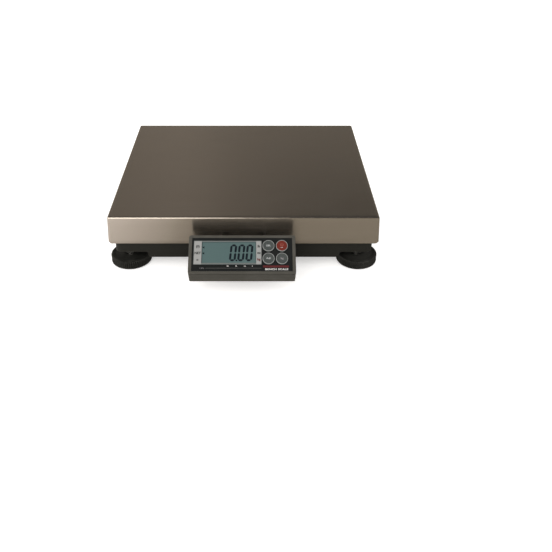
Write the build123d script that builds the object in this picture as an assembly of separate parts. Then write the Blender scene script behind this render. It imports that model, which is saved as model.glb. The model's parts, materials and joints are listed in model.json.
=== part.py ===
from build123d import *
import os
from math import atan, cos, degrees, hypot, radians, sin

# A bench shipping scale: a stainless platter pan over a black base on four levelling feet, with a
# tilting display head on an arm in front. Millimetres. X is the width, -Y the operator's side, +Z up.
# The model is laid out about the centre of the platter with the floor at z = 0, and moved along Y
# at the end so that the origin lies under the middle of the whole outline.

# Driving dimensions
PLATTER_WIDTH = 356.0
PLATTER_DEPTH = 305.0
OVERALL_HEIGHT = 79.0
SKIRT_HEIGHT = 39.5
SKIRT_FLARE = 1.8  # how far the skirt spreads at its lower edge
SHEET = 1.2
BEND_RADIUS = 2.2
PLAN_CORNER_RADIUS = 2.6
SKIRT_CORNER_RADIUS = 2.6  # lower corners of each skirt panel

BASE_GAP = 5.0  # platter edge line to the base wall, in plan
BASE_WALL = 3.0
BASE_CORNER_RADIUS = 8.0
BASE_FLOOR_LOW = 22.0
BASE_FLOOR_TOP = 25.0
BASE_RIM_TOP = 44.0
VALANCE_LOW = 13.8  # the deeper stretch of wall between the feet
VALANCE_REACH_X = 127.5
VALANCE_REACH_Y = 104.0
VALANCE_SLOPE = 3.0

FOOT_INSET_X = 23.4  # platter edge line to the foot's centre
FOOT_INSET_Y = 20.6
WHEEL_RADIUS = 27.5
WHEEL_LOW = 0.8
WHEEL_TOP = 12.5
WHEEL_RIBS = 60
WHEEL_GROOVE_RADIUS = 0.85
STUD_RADIUS = 5.0
STUD_TOP = 38.0
PAD_RADIUS = 19.0
PAD_HUB_RADIUS = 8.0
PAD_GAP = 0.4  # between the pad's disc and the wheel
PAD_SEAT = 3.0  # height at which the wheel turns on its pad

CELL_LENGTH = 130.0
CELL_WIDTH = 30.0
CELL_HEIGHT = 22.0
CELL_SPACER = 3.0
CELL_PAD_TOP = 33.0
TOP_FRAME_TOP = 73.0
TOP_FRAME_THICKNESS = 12.0
ARM_THICKNESS = 10.0

HEAD_WIDTH = 135.8
HEAD_OFFSET = -1.2  # the head and its arm sit slightly left of the middle
FACE_LENGTH = 51.6
FACE_TILT = 35.5  # degrees from level
FACE_GAP = 24.0  # platter edge line to the face's top edge
FACE_DROP = 12.2  # platter top to the face's top edge
RUNNING_GAP = 0.08  # radial clearance of a shaft that turns in its hole
FIXED_GAP = 0.05  # radial clearance of a screw that stays put

# Sizes that follow from them
half_width = PLATTER_WIDTH / 2
half_depth = PLATTER_DEPTH / 2
skirt_low = OVERALL_HEIGHT - SKIRT_HEIGHT
platter_underside = OVERALL_HEIGHT - SHEET
base_half_width = half_width - BASE_GAP
base_half_depth = half_depth - BASE_GAP
foot_x = half_width - FOOT_INSET_X
foot_y = half_depth - FOOT_INSET_Y
diagonal_angle = degrees(atan(foot_y / foot_x))
cell_low = CELL_PAD_TOP + CELL_SPACER
cell_top = cell_low + CELL_HEIGHT
top_frame_low = TOP_FRAME_TOP - TOP_FRAME_THICKNESS
arm_low = TOP_FRAME_TOP - ARM_THICKNESS

CORNERS = {
    "front_left": (-1, -1),
    "front_right": (1, -1),
    "rear_left": (-1, 1),
    "rear_right": (1, 1),
}


# Helpers ------------------------------------------------------------------------------------------


def block(x, y, z):
    # A box between the low and high value given for each axis.
    middle = Pos((x[0] + x[1]) / 2, (y[0] + y[1]) / 2, (z[0] + z[1]) / 2)
    return middle * Box(x[1] - x[0], y[1] - y[0], z[1] - z[0])


def rod(radius, low, high, x=0.0, y=0.0):
    # A cylinder standing along Z.
    return Pos(x, y, (low + high) / 2) * Cylinder(radius, high - low)


def rod_x(radius, low, high, y, z):
    # A cylinder lying along X.
    return Pos((low + high) / 2, y, z) * Rot(0, 90, 0) * Cylinder(radius, high - low)


def rod_y(radius, low, high, x, z):
    # A cylinder lying along Y.
    return Pos(x, (low + high) / 2, z) * Rot(90, 0, 0) * Cylinder(radius, high - low)


def side_profile(points, half_length):
    # A closed outline of (y, z) points, extruded both ways along X.
    return extrude(Plane.YZ * Polygon(*points, align=None), half_length, both=True)


def hexagon(across_flats, low, high, x=0.0, y=0.0):
    corner = across_flats / 2 / cos(radians(30))
    return extrude(Pos(x, y, low) * RegularPolygon(corner, 6), high - low)


def group(*shapes):
    # Separate solids that share one node.
    return Compound([solid for shape in shapes for solid in shape.solids()])


def at_corners(x, y):
    return [(sx * x, sy * y) for sx, sy in CORNERS.values()]


def diagonal_bars(length, width, low, high):
    # Two crossed bars along the diagonals, each as long as twice the given length.
    bars = []
    for turn in (diagonal_angle, -diagonal_angle):
        bars.append(Pos(0, 0, (low + high) / 2) * Rot(0, 0, turn) * Box(2 * length, width, high - low))
    return bars[0] + bars[1]


# Platter ------------------------------------------------------------------------------------------


def pan_solid(inset, height, corner_radius, bend_radius):
    # The pan's outer or inner solid: a shallow block whose sides lean out towards the lower edge.
    draft = degrees(atan(SKIRT_FLARE / SKIRT_HEIGHT))
    grow = 2 * (SKIRT_FLARE - inset)
    foot = Pos(0, 0, skirt_low) * Rectangle(PLATTER_WIDTH + grow, PLATTER_DEPTH + grow)
    solid = extrude(foot, height, taper=draft)
    levels = solid.edges().group_by(Axis.Z)
    solid = fillet(levels[1], corner_radius)
    return fillet(solid.faces().sort_by(Axis.Z)[-1].edges(), bend_radius)


def corner_cutter():
    # Takes the sharp lower corner off one end of a skirt panel that faces -Y.
    size = SKIRT_CORNER_RADIUS
    edge_x = half_width + SKIRT_FLARE
    edge_y = -(half_depth + SKIRT_FLARE)
    depth = SHEET + 0.4
    height = (skirt_low - 1, skirt_low + size)
    cube = block((edge_x - size, edge_x + 1), (edge_y - 1, edge_y + depth), height)
    return cube - rod_y(size, edge_y - 2, edge_y + 3, edge_x - size, skirt_low + size)


def platter():
    outer = pan_solid(0, SKIRT_HEIGHT, PLAN_CORNER_RADIUS, BEND_RADIUS)
    inner = pan_solid(SHEET, SKIRT_HEIGHT - SHEET, PLAN_CORNER_RADIUS - SHEET, BEND_RADIUS - SHEET)
    pan = outer - inner
    cutter = corner_cutter()
    for flip_x in (False, True):
        for flip_y in (False, True):
            tool = mirror(cutter, Plane.YZ) if flip_x else cutter
            tool = mirror(tool, Plane.XZ) if flip_y else tool
            pan -= tool
    return pan


# Base ---------------------------------------------------------------------------------------------

STOP_X = 118.0  # overload stops lie on the diagonals
STOP_RADIUS = 3.0
STOP_BOSS_RADIUS = 7.0
STOP_GAP = 0.65  # how far the loaded frame sinks before it meets the stops
stop_y = STOP_X * foot_y / foot_x
FOOT_BOSS_RADIUS = 13.0
INSERT_RADIUS = 7.0
LOCK_NUT_FLATS = 17.0
LOCK_NUT_THICKNESS = 5.2
BOSS_TOP = 36.0
RIB_TOP = 31.0
RIB_WIDTH = 4.0
CELL_SEAT_X = (-68.0, -24.0)
CELL_SEAT_Y = (-20.0, 20.0)
CELL_BOLT_X = (-57.0, -40.0)  # fixed end; the free end mirrors them
CELL_BOLT_RADIUS = 3.0
CELL_BOLT_HOLE_RADIUS = 3.3
CELL_BOLT_DEPTH = 11.0  # thread engagement in the beam
BOLT_HEAD_RADIUS = 5.0
BOLT_HEAD_HEIGHT = 6.0
BOLT_HEAD_SINK = 1.0
BOLT_KEY_FLATS = 5.0
BOLT_POCKET_RADIUS = 5.6
bolt_pocket_depth = BOLT_HEAD_SINK + BOLT_HEAD_HEIGHT
BOARD = ((-45.0, 45.0), (88.0, 128.0), (28.0, 29.6))
INLET_X = (17.0, 29.0)
SOCKET_X = (-30.0, -13.0)
INLET_TOP = 40.0
SOCKET_TOP = 42.0
SOCKET_GAP = 0.2  # between a socket and its hole in the rear wall
SOCKET_INSET = 9.0  # how far a socket reaches in over the board
ARM_SCREW_X = 18.0
ARM_SCREW_Z = 31.0
ARM_SCREW_RADIUS = 2.5
VIAL_X = 95.0
VIAL_Y = -112.0
VIAL_RADIUS = 7.9
VIAL_CUP_RADIUS = 10.0
VIAL_CUP_TOP = 33.0
vial_floor = BASE_FLOOR_TOP + 1.6


def valance_outline(reach):
    # A stretch of wall whose ends slope up to the floor, as (along, height) points.
    low, high = VALANCE_LOW, BASE_FLOOR_LOW + 1
    return [(-reach - VALANCE_SLOPE, high), (-reach, low), (reach, low), (reach + VALANCE_SLOPE, high)]


def valances():
    # Deeper wall between the feet on all four sides.
    half_wall = BASE_WALL / 2
    long_outline = Polygon(*valance_outline(VALANCE_REACH_X), align=None)
    long_wall = extrude(Plane.XZ * long_outline, half_wall, both=True)
    side_wall = side_profile(valance_outline(VALANCE_REACH_Y), half_wall)
    return [
        Pos(0, base_half_depth - half_wall, 0) * long_wall,
        Pos(0, -base_half_depth + half_wall, 0) * long_wall,
        Pos(base_half_width - half_wall, 0, 0) * side_wall,
        Pos(-base_half_width + half_wall, 0, 0) * side_wall,
    ]


def base_shell():
    # An open tray with rounded corners.
    inner_half_width = base_half_width - BASE_WALL
    inner_half_depth = base_half_depth - BASE_WALL
    outline = RectangleRounded(2 * base_half_width, 2 * base_half_depth, BASE_CORNER_RADIUS)
    hollow = RectangleRounded(2 * inner_half_width, 2 * inner_half_depth, BASE_CORNER_RADIUS - BASE_WALL)
    shell = extrude(Pos(0, 0, BASE_FLOOR_LOW) * outline, BASE_RIM_TOP - BASE_FLOOR_LOW)
    return shell - extrude(Pos(0, 0, BASE_FLOOR_TOP) * hollow, BASE_RIM_TOP)


def socket_hole(span, top):
    rear_wall = (base_half_depth - BASE_WALL - 1, base_half_depth + 1)
    low = BOARD[2][1] - SOCKET_GAP
    return block((span[0] - SOCKET_GAP, span[1] + SOCKET_GAP), rear_wall, (low, top + SOCKET_GAP))


def base_frame():
    rooted = BASE_FLOOR_TOP - 1
    below = BASE_FLOOR_LOW - 1
    frame = base_shell()
    for wall in valances():
        frame += wall
    frame += diagonal_bars(hypot(foot_x, foot_y), RIB_WIDTH, rooted, RIB_TOP)
    frame += block(CELL_SEAT_X, CELL_SEAT_Y, (rooted, CELL_PAD_TOP))
    for x, y in at_corners(foot_x, foot_y):
        frame += rod(FOOT_BOSS_RADIUS, rooted, BOSS_TOP, x, y)
    for x, y in at_corners(STOP_X, stop_y):
        frame += rod(STOP_BOSS_RADIUS, rooted, RIB_TOP, x, y)
    for x, y in at_corners(foot_x, foot_y):
        frame -= rod(INSERT_RADIUS, below, BOSS_TOP + 1, x, y)
    for x, y in at_corners(STOP_X, stop_y):
        frame -= rod(STOP_RADIUS + FIXED_GAP, BASE_FLOOR_TOP + 1, RIB_TOP + 1, x, y)
    for x in CELL_BOLT_X:
        frame -= rod(CELL_BOLT_HOLE_RADIUS, below, CELL_PAD_TOP + 1, x)
        frame -= rod(BOLT_POCKET_RADIUS, below, BASE_FLOOR_LOW + bolt_pocket_depth, x)
    for x in (HEAD_OFFSET - ARM_SCREW_X, HEAD_OFFSET + ARM_SCREW_X):
        hole = (-base_half_depth - 1, -base_half_depth + BASE_WALL + 1)
        frame -= rod_y(ARM_SCREW_RADIUS + FIXED_GAP, *hole, x, ARM_SCREW_Z)
    return frame - socket_hole(INLET_X, INLET_TOP) - socket_hole(SOCKET_X, SOCKET_TOP)


def foot_inserts():
    return group(*[
        rod(INSERT_RADIUS, BASE_FLOOR_LOW, BOSS_TOP, x, y)
        - rod(STUD_RADIUS + RUNNING_GAP, BASE_FLOOR_LOW - 1, BOSS_TOP + 1, x, y)
        for x, y in at_corners(foot_x, foot_y)
    ])


def foot_lock_nuts():
    low = BASE_FLOOR_LOW - LOCK_NUT_THICKNESS
    return group(*[
        hexagon(LOCK_NUT_FLATS, low, BASE_FLOOR_LOW, x, y)
        - rod(STUD_RADIUS + RUNNING_GAP, low - 1, BASE_FLOOR_LOW + 1, x, y)
        for x, y in at_corners(foot_x, foot_y)
    ])


def overload_stop_screws():
    # Set screws that the top frame's arms meet when the platter is overloaded.
    low, high = BASE_FLOOR_TOP + 2, arm_low - STOP_GAP
    return group(*[rod(STOP_RADIUS, low, high, x, y) for x, y in at_corners(STOP_X, stop_y)])


def overload_stop_nuts():
    flats, thickness = 10.0, 5.0
    return group(*[
        hexagon(flats, RIB_TOP, RIB_TOP + thickness, x, y)
        - rod(STOP_RADIUS + FIXED_GAP, RIB_TOP - 1, RIB_TOP + thickness + 1, x, y)
        for x, y in at_corners(STOP_X, stop_y)
    ])


def level_vial_body():
    cup = rod(VIAL_CUP_RADIUS, BASE_FLOOR_TOP, VIAL_CUP_TOP, VIAL_X, VIAL_Y)
    return cup - rod(VIAL_RADIUS + 0.1, vial_floor, VIAL_CUP_TOP + 1, VIAL_X, VIAL_Y)


def level_vial_glass():
    vial = rod(VIAL_RADIUS, vial_floor, VIAL_CUP_TOP - 0.6, VIAL_X, VIAL_Y)
    return fillet(vial.edges().sort_by(Axis.Z)[-1], 1.5)


# Load cell ----------------------------------------------------------------------------------------


WINDOW_RADIUS = 8.0
WINDOW_X = 14.0
WINDOW_SLOT = 3.0  # half height of the slot that joins the windows
SPACER_X = (32.0, 65.0)


def load_cell():
    # A single-point beam with two joined round windows, held below at one end and loaded at the other.
    middle_z = (cell_low + cell_top) / 2
    half_length = CELL_LENGTH / 2
    half_cell = CELL_WIDTH / 2
    hole_depth = CELL_BOLT_DEPTH + 1
    beam = block((-half_length, half_length), (-half_cell, half_cell), (cell_low, cell_top))
    for x in (-WINDOW_X, WINDOW_X):
        beam -= rod_y(WINDOW_RADIUS, -CELL_WIDTH, CELL_WIDTH, x, middle_z)
    slot = (middle_z - WINDOW_SLOT, middle_z + WINDOW_SLOT)
    beam -= block((-WINDOW_X, WINDOW_X), (-CELL_WIDTH, CELL_WIDTH), slot)
    for x in CELL_BOLT_X:
        beam -= rod(CELL_BOLT_RADIUS + FIXED_GAP, cell_low - 1, cell_low + hole_depth, x)
        beam -= rod(CELL_BOLT_RADIUS + FIXED_GAP, cell_top - hole_depth, cell_top + 1, -x)
    return beam


def spacer_plate(side, low, high):
    # A plate under or over one end of the beam; side is -1 for the fixed end and 1 for the free end.
    reach = sorted(side * x for x in SPACER_X)
    plate = block(reach, (-CELL_WIDTH / 2, CELL_WIDTH / 2), (low, high))
    for x in CELL_BOLT_X:
        plate -= rod(CELL_BOLT_HOLE_RADIUS, low - 1, high + 1, -side * x)
    return plate


def load_cell_fixed_spacer():
    return spacer_plate(-1, CELL_PAD_TOP, cell_low)


def load_cell_top_spacer():
    return spacer_plate(1, cell_top, top_frame_low)


def load_cell_fixed_bolts():
    bolts = []
    low = BASE_FLOOR_LOW + BOLT_HEAD_SINK
    high = low + BOLT_HEAD_HEIGHT
    for x in CELL_BOLT_X:
        head = rod(BOLT_HEAD_RADIUS, low, high, x) - hexagon(BOLT_KEY_FLATS, low - 1, high - 3, x)
        bolts.append(head + rod(CELL_BOLT_RADIUS, high, cell_low + CELL_BOLT_DEPTH, x))
    return group(*bolts)


def load_cell_top_bolts():
    bolts = []
    high = TOP_FRAME_TOP - BOLT_HEAD_SINK
    low = high - BOLT_HEAD_HEIGHT
    for x in CELL_BOLT_X:
        head = rod(BOLT_HEAD_RADIUS, low, high, -x) - hexagon(BOLT_KEY_FLATS, low + 3, high + 1, -x)
        bolts.append(head + rod(CELL_BOLT_RADIUS, cell_top - CELL_BOLT_DEPTH, low, -x))
    return group(*bolts)


# Top frame ----------------------------------------------------------------------------------------

BUMPER_X = 145.0
bumper_y = BUMPER_X * foot_y / foot_x
BUMPER_RADIUS = 10.0
BUMPER_PAD_RADIUS = 14.0
BUMPER_STEM_RADIUS = 3.0
BUMPER_STEM_DEPTH = 5.5
HUB_X = 72.0
HUB_Y = 22.0
ARM_WIDTH = 14.0


def top_frame():
    # A cross whose four arms end in pads under the platter's corners.
    frame = block((-HUB_X, HUB_X), (-HUB_Y, HUB_Y), (top_frame_low, TOP_FRAME_TOP))
    frame += diagonal_bars(hypot(BUMPER_X, bumper_y), ARM_WIDTH, arm_low, TOP_FRAME_TOP)
    for x, y in at_corners(BUMPER_X, bumper_y):
        frame += rod(BUMPER_PAD_RADIUS, arm_low, TOP_FRAME_TOP, x, y)
    stem_low = TOP_FRAME_TOP - BUMPER_STEM_DEPTH - 0.5
    for x, y in at_corners(BUMPER_X, bumper_y):
        frame -= rod(BUMPER_STEM_RADIUS + FIXED_GAP, stem_low, TOP_FRAME_TOP + 1, x, y)
    for x in CELL_BOLT_X:
        frame -= rod(CELL_BOLT_HOLE_RADIUS, top_frame_low - 1, TOP_FRAME_TOP + 1, -x)
        frame -= rod(BOLT_POCKET_RADIUS, TOP_FRAME_TOP - bolt_pocket_depth, TOP_FRAME_TOP + 1, -x)
    return frame


def platter_bumpers():
    bumpers = []
    stem_low = TOP_FRAME_TOP - BUMPER_STEM_DEPTH
    for x, y in at_corners(BUMPER_X, bumper_y):
        cap = rod(BUMPER_RADIUS, TOP_FRAME_TOP, platter_underside, x, y)
        bumpers.append(cap + rod(BUMPER_STEM_RADIUS, stem_low, TOP_FRAME_TOP, x, y))
    return group(*bumpers)


# Electronics in the base --------------------------------------------------------------------------

STANDOFF_XY = [(x, y) for x in (-39.0, 39.0) for y in (94.0, 122.0)]


def converter_board():
    board = block(*BOARD)
    for x, y in STANDOFF_XY:
        board -= rod(1.6, BOARD[2][0] - 1, BOARD[2][1] + 1, x, y)
    return board


def board_standoffs():
    return group(*[
        rod(3.0, BASE_FLOOR_TOP, BOARD[2][0], x, y) - rod(1.3, BASE_FLOOR_TOP + 1, BOARD[2][0] + 1, x, y)
        for x, y in STANDOFF_XY
    ])


def board_screws():
    return group(*[
        rod(2.6, BOARD[2][1], BOARD[2][1] + 1.6, x, y) + rod(1.25, BASE_FLOOR_TOP + 2, BOARD[2][1], x, y)
        for x, y in STANDOFF_XY
    ])


def board_parts():
    # Converter chip, processor, two capacitors and the load cell's header.
    top = BOARD[2][1]
    return group(
        block((-12, -2), (98, 104), (top, top + 1.8)),
        block((4, 18), (100, 114), (top, top + 1.6)),
        rod(4.0, top, top + 9, 28, 96),
        rod(3.0, top, top + 7, 24, 106),
        block((-34, -24), (90, 96), (top, top + 6)),
    )


def power_inlet():
    # A barrel jack: a block with a round mouth and a centre pin.
    mouth_radius, pin_radius, mouth_depth = 3.2, 1.0, 9.0
    middle_x = sum(INLET_X) / 2
    middle_z = (BOARD[2][1] + INLET_TOP) / 2
    bottom = base_half_depth - mouth_depth
    shell = block(INLET_X, (BOARD[1][1] - SOCKET_INSET, base_half_depth), (BOARD[2][1], INLET_TOP))
    shell -= rod_y(mouth_radius, bottom, base_half_depth + 1, middle_x, middle_z)
    return shell + rod_y(pin_radius, bottom - 1, base_half_depth - 1, middle_x, middle_z)


def data_socket():
    # A modular data socket with an oblong mouth.
    wall, mouth_depth = 2.5, 12.0
    shell = block(SOCKET_X, (BOARD[1][1] - SOCKET_INSET, base_half_depth), (BOARD[2][1], SOCKET_TOP))
    across = (SOCKET_X[0] + wall, SOCKET_X[1] - wall)
    mouth_z = (BOARD[2][1] + wall, SOCKET_TOP - wall)
    return shell - block(across, (base_half_depth - mouth_depth, base_half_depth + 1), mouth_z)


def cell_cable():
    # From the side of the load cell's fixed end over the rib to the header on the board.
    radius = 2.0
    end_y = 90.0
    route = [(-48, CELL_WIDTH / 2, 47), (-48, 42, 47), (-40, 66, 38), (-29, 80, 33.0), (-29, end_y, 33.0)]
    path = FilletPolyline(*route, radius=12.0)
    start = Plane(origin=path @ 0, z_dir=path % 0)
    return sweep(start * Circle(radius), path)


# Display arm --------------------------------------------------------------------------------------

ARM_SHEET = 2.5
ARM_LOW = 20.0
ARM_TAB_TOP = 37.0
ARM_REACH = 41.0  # platter edge line to the shelf's front edge
PIVOT_GAP = 33.0  # platter edge line to the tilt axis
PIVOT_HEIGHT = 32.3
EAR_INNER = 25.8
EAR_OUTER = EAR_INNER + ARM_SHEET
EAR_RADIUS = 5.5
LUG_OUTER = 25.0
LUG_INNER = 19.0
LUG_RADIUS = 5.0
TILT_BOLT_RADIUS = 2.5
pivot_y = -half_depth - PIVOT_GAP


def display_arm():
    # One folded plate: a tab on the base's front wall, a shelf going forward, and two ears at its edges.
    wall_y = -base_half_depth
    front_y = -half_depth - ARM_REACH
    profile = [
        (wall_y, ARM_LOW),
        (wall_y, ARM_TAB_TOP),
        (wall_y - ARM_SHEET, ARM_TAB_TOP),
        (wall_y - ARM_SHEET, ARM_LOW + ARM_SHEET),
        (front_y, ARM_LOW + ARM_SHEET),
        (front_y, ARM_LOW),
    ]
    plate = side_profile(profile, EAR_OUTER)
    outer_bend = plate.edges().filter_by(Axis.X).filter_by_position(Axis.Y, wall_y - 0.1, wall_y + 0.1)
    plate = fillet(outer_bend.sort_by(Axis.Z)[0], ARM_SHEET)
    for low, high in ((EAR_INNER, EAR_OUTER), (-EAR_OUTER, -EAR_INNER)):
        plate += block((low, high), (front_y + 1, front_y + 15), (ARM_LOW, PIVOT_HEIGHT))
        plate += rod_x(EAR_RADIUS, low, high, pivot_y, PIVOT_HEIGHT)
        plate -= rod_x(TILT_BOLT_RADIUS + FIXED_GAP, low - 1, high + 1, pivot_y, PIVOT_HEIGHT)
    for x in (-ARM_SCREW_X, ARM_SCREW_X):
        plate -= rod_y(ARM_SCREW_RADIUS + FIXED_GAP, wall_y - 5, wall_y + 1, x, ARM_SCREW_Z)
    return plate


def arm_screws():
    tab_y = -base_half_depth - ARM_SHEET
    screws = []
    for x in (-ARM_SCREW_X, ARM_SCREW_X):
        head = rod_y(4.5, tab_y - 2.2, tab_y, x, ARM_SCREW_Z)
        screws.append(head + rod_y(ARM_SCREW_RADIUS, tab_y, -base_half_depth + 8, x, ARM_SCREW_Z))
    return group(*screws)


def arm_nuts():
    inner_y = -base_half_depth + BASE_WALL
    nuts = []
    for x in (-ARM_SCREW_X, ARM_SCREW_X):
        outline = Plane(origin=(x, inner_y, ARM_SCREW_Z), z_dir=(0, 1, 0)) * RegularPolygon(4.6, 6)
        bore = rod_y(ARM_SCREW_RADIUS + FIXED_GAP, inner_y - 1, inner_y + 6, x, ARM_SCREW_Z)
        nuts.append(extrude(outline, 4.0) - bore)
    return group(*nuts)


def tilt_bolts():
    bolts = []
    for side in (-1, 1):
        inner, outer, head = side * (LUG_INNER + 1), side * EAR_OUTER, side * (EAR_OUTER + 3)
        shank = rod_x(TILT_BOLT_RADIUS, min(inner, outer), max(inner, outer), pivot_y, PIVOT_HEIGHT)
        bolts.append(shank + rod_x(4.5, min(outer, head), max(outer, head), pivot_y, PIVOT_HEIGHT))
    return group(*bolts)


def tilt_washers():
    washers = []
    for low, high in ((LUG_OUTER, EAR_INNER), (-EAR_INNER, -LUG_OUTER)):
        disc = rod_x(4.8, low, high, pivot_y, PIVOT_HEIGHT)
        washers.append(disc - rod_x(TILT_BOLT_RADIUS + FIXED_GAP, low - 1, high + 1, pivot_y, PIVOT_HEIGHT))
    return group(*washers)


# Display head, drawn in the face's own plane: x along the width, y up the slope, z out of the face --

tilt = radians(FACE_TILT)
face_half = FACE_LENGTH / 2
head_half = HEAD_WIDTH / 2
face_centre_y = -half_depth - FACE_GAP - face_half * cos(tilt)
face_centre_z = OVERALL_HEIGHT - FACE_DROP - face_half * sin(tilt)
head_place = Plane(
    origin=(HEAD_OFFSET, face_centre_y, face_centre_z), x_dir=(1, 0, 0), z_dir=(0, -sin(tilt), cos(tilt))
).location

FASCIA_FOOT = (-31.8, -14.9)  # lower front edge of the head
SEAM_TOP = (25.3, -8.0)  # where the front shell ends at the upper edge
COVER_HEEL = (22.8, -18.0)  # rearmost lower corner of the rear cover
SHELL_WALL = 2.2
RIM_SIDE = 4.2
RIM_TOP = 3.6
RIM_FOOT = 3.2
OVERLAY_SINK = 0.6
OVERLAY_THICKNESS = 0.8
LCD_CENTRE = (-18.4, 2.5)
LCD_SIZE = (86.2, 32.4)
GLASS_CENTRE = (-16.8, 2.8)
GLASS_SIZE = (69.0, 28.2)
KEY_RADIUS = 7.5
KEY_HOLE_RADIUS = 7.8
KEY_TRAVEL = 0.6
KEY_PLACES = {
    "key_zero": (33.5, 11.5),
    "key_power": (50.5, 11.5),
    "key_tare": (33.5, -5.7),
    "key_units": (50.5, -5.7),
}
HEAD_SCREW_XY = [(x, y) for x in (-60.5, 60.5) for y in (-13.0, 17.0)]
shelf_low = -OVERLAY_SINK - OVERLAY_THICKNESS - 1.2
HEAD_BOARD = ((-56.0, 56.0), (-20.0, 20.0), (-9.6, -8.0))
POST_GAP = 0.4  # flat post ends stand off the sloping seam

overlay_x = (-head_half + RIM_SIDE, head_half - RIM_SIDE)
overlay_y = (-face_half + RIM_FOOT, face_half - RIM_TOP)


def seam_z(y):
    # Depth of the seam between front shell and rear cover at a given height up the slope.
    share = (y - FASCIA_FOOT[0]) / (SEAM_TOP[0] - FASCIA_FOOT[0])
    return FASCIA_FOOT[1] + share * (SEAM_TOP[1] - FASCIA_FOOT[1])


def window(centre, size, low, high):
    # A rectangular block given by its centre and size in the face's plane.
    return Pos(centre[0], centre[1], (low + high) / 2) * Box(size[0], size[1], high - low)


def head_front_shell():
    outline = [(face_half, 0), (-face_half, 0), FASCIA_FOOT, SEAM_TOP]
    shell = side_profile(outline, head_half)
    # round the ends of the fascia and the face's four corners
    ends = shell.edges().filter_by(Axis.X, reverse=True).group_by(Axis.Y)
    shell = fillet(ends[0] + ends[-1], 2.8)
    shell = fillet(shell.faces().sort_by(Axis.Z)[-1].edges(), 0.9)
    inner = [
        (face_half - SHELL_WALL, shelf_low),
        (-face_half + SHELL_WALL - 0.6, shelf_low),
        (FASCIA_FOOT[0] + SHELL_WALL + 0.4, FASCIA_FOOT[1] - 4),
        (SEAM_TOP[0] - SHELL_WALL, SEAM_TOP[1] - 4),
    ]
    shell -= side_profile(inner, head_half - SHELL_WALL)
    shell -= block(overlay_x, overlay_y, (-OVERLAY_SINK - OVERLAY_THICKNESS, 1))
    shell -= window(LCD_CENTRE, (LCD_SIZE[0] + 0.2, LCD_SIZE[1] + 0.2), shelf_low - 1, 0)
    for x, y in KEY_PLACES.values():
        shell -= rod(KEY_HOLE_RADIUS, shelf_low - 1, 0, x, y)
    for x, y in HEAD_SCREW_XY:
        shell += rod(2.8, seam_z(y) + POST_GAP, shelf_low + 0.2, x, y)
        shell -= rod(1.2, seam_z(y), shelf_low, x, y)
    return shell


def face_overlay():
    low, high = -OVERLAY_SINK - OVERLAY_THICKNESS, -OVERLAY_SINK
    gap = 0.1
    across = (overlay_x[0] + gap, overlay_x[1] - gap)
    sheet = block(across, (overlay_y[0] + gap, overlay_y[1] - gap), (low, high))
    sheet -= window(LCD_CENTRE, LCD_SIZE, low - 1, high + 1)
    for x, y in KEY_PLACES.values():
        sheet -= rod(KEY_HOLE_RADIUS, low - 1, high + 1, x, y)
    return sheet


def lcd_bezel():
    # Pale frame around the glass, with a broad label strip at each end.
    plate = window(LCD_CENTRE, LCD_SIZE, -2.4, -1.2)
    return plate - window(GLASS_CENTRE, GLASS_SIZE, -3, 0)


def lcd_glass():
    return window(GLASS_CENTRE, (GLASS_SIZE[0] - 0.1, GLASS_SIZE[1] - 0.1), -3.0, -1.4)


def lcd_backlight():
    # Narrower than the frame, to clear the shell's screw posts.
    return window(LCD_CENTRE, (LCD_SIZE[0] - 8.2, LCD_SIZE[1] - 2), -6.4, -3.0)


def display_board():
    return block(*HEAD_BOARD)


def key_switches():
    top = HEAD_BOARD[2][1]
    return group(*[
        block((x - 3, x + 3), (y - 3, y + 3), (top, top + 2.2)) + rod(1.7, top + 2.2, top + 2.8, x, y)
        for x, y in KEY_PLACES.values()
    ])


def key_cap(place):
    x, y = place
    flange_top = shelf_low
    cap = rod(KEY_RADIUS, flange_top, 0.35, x, y)
    cap = fillet(cap.edges().sort_by(Axis.Z)[-1], 0.5)
    return cap + rod(8.1, flange_top - 0.8, flange_top, x, y) + rod(2.0, -4.5, flange_top - 0.8, x, y)


def head_rear_cover():
    seam_foot = (FASCIA_FOOT[0] + 1.2, seam_z(FASCIA_FOOT[0] + 1.2))
    outline = [seam_foot, SEAM_TOP, COVER_HEEL]
    cover = side_profile(outline, head_half - 0.8)
    heel = cover.edges().filter_by(Axis.X).sort_by(Axis.Z)[0]
    cover = fillet(heel, 2.0)
    pocket_foot, pocket_top = -18.0, SEAM_TOP[0] - 2.4
    pocket = [
        (pocket_foot, seam_z(pocket_foot) + 1),
        (pocket_top, seam_z(pocket_top) + 1),
        (COVER_HEEL[0] - 2.4, COVER_HEEL[1] + 2.4),
        (pocket_foot + 4.0, -13.5),
    ]
    cover -= side_profile(pocket, head_half - 3.0)
    lug_y, lug_z = pivot_in_head()
    for low, high in ((LUG_INNER, LUG_OUTER), (-LUG_OUTER, -LUG_INNER)):
        cover += rod_x(LUG_RADIUS, low, high, lug_y, lug_z)
        cover += block((low, high), (lug_y - LUG_RADIUS, lug_y + LUG_RADIUS), (lug_z, -14.0))
        cover -= rod_x(TILT_BOLT_RADIUS + RUNNING_GAP, low - 1, high + 1, lug_y, lug_z)
    for x, y in HEAD_SCREW_XY:
        cover += rod(3.6, -20.0, seam_z(y) - POST_GAP, x, y) & side_profile(outline, head_half - 0.8)
        cover -= rod(1.5, -30, 0, x, y)
        cover -= rod(2.7, -30, seam_z(y) - 1.4, x, y)
    return cover


def pivot_in_head():
    # The tilt axis as (up the slope, out of the face) in the face's own plane.
    back = pivot_y - face_centre_y
    up = PIVOT_HEIGHT - face_centre_z
    return back * cos(tilt) + up * sin(tilt), -back * sin(tilt) + up * cos(tilt)


def head_screws():
    return group(*[
        rod(2.4, seam_z(y) - 3.0, seam_z(y) - 1.4, x, y) + rod(1.15, seam_z(y) - 1.4, seam_z(y) + 4, x, y)
        for x, y in HEAD_SCREW_XY
    ])


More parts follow.
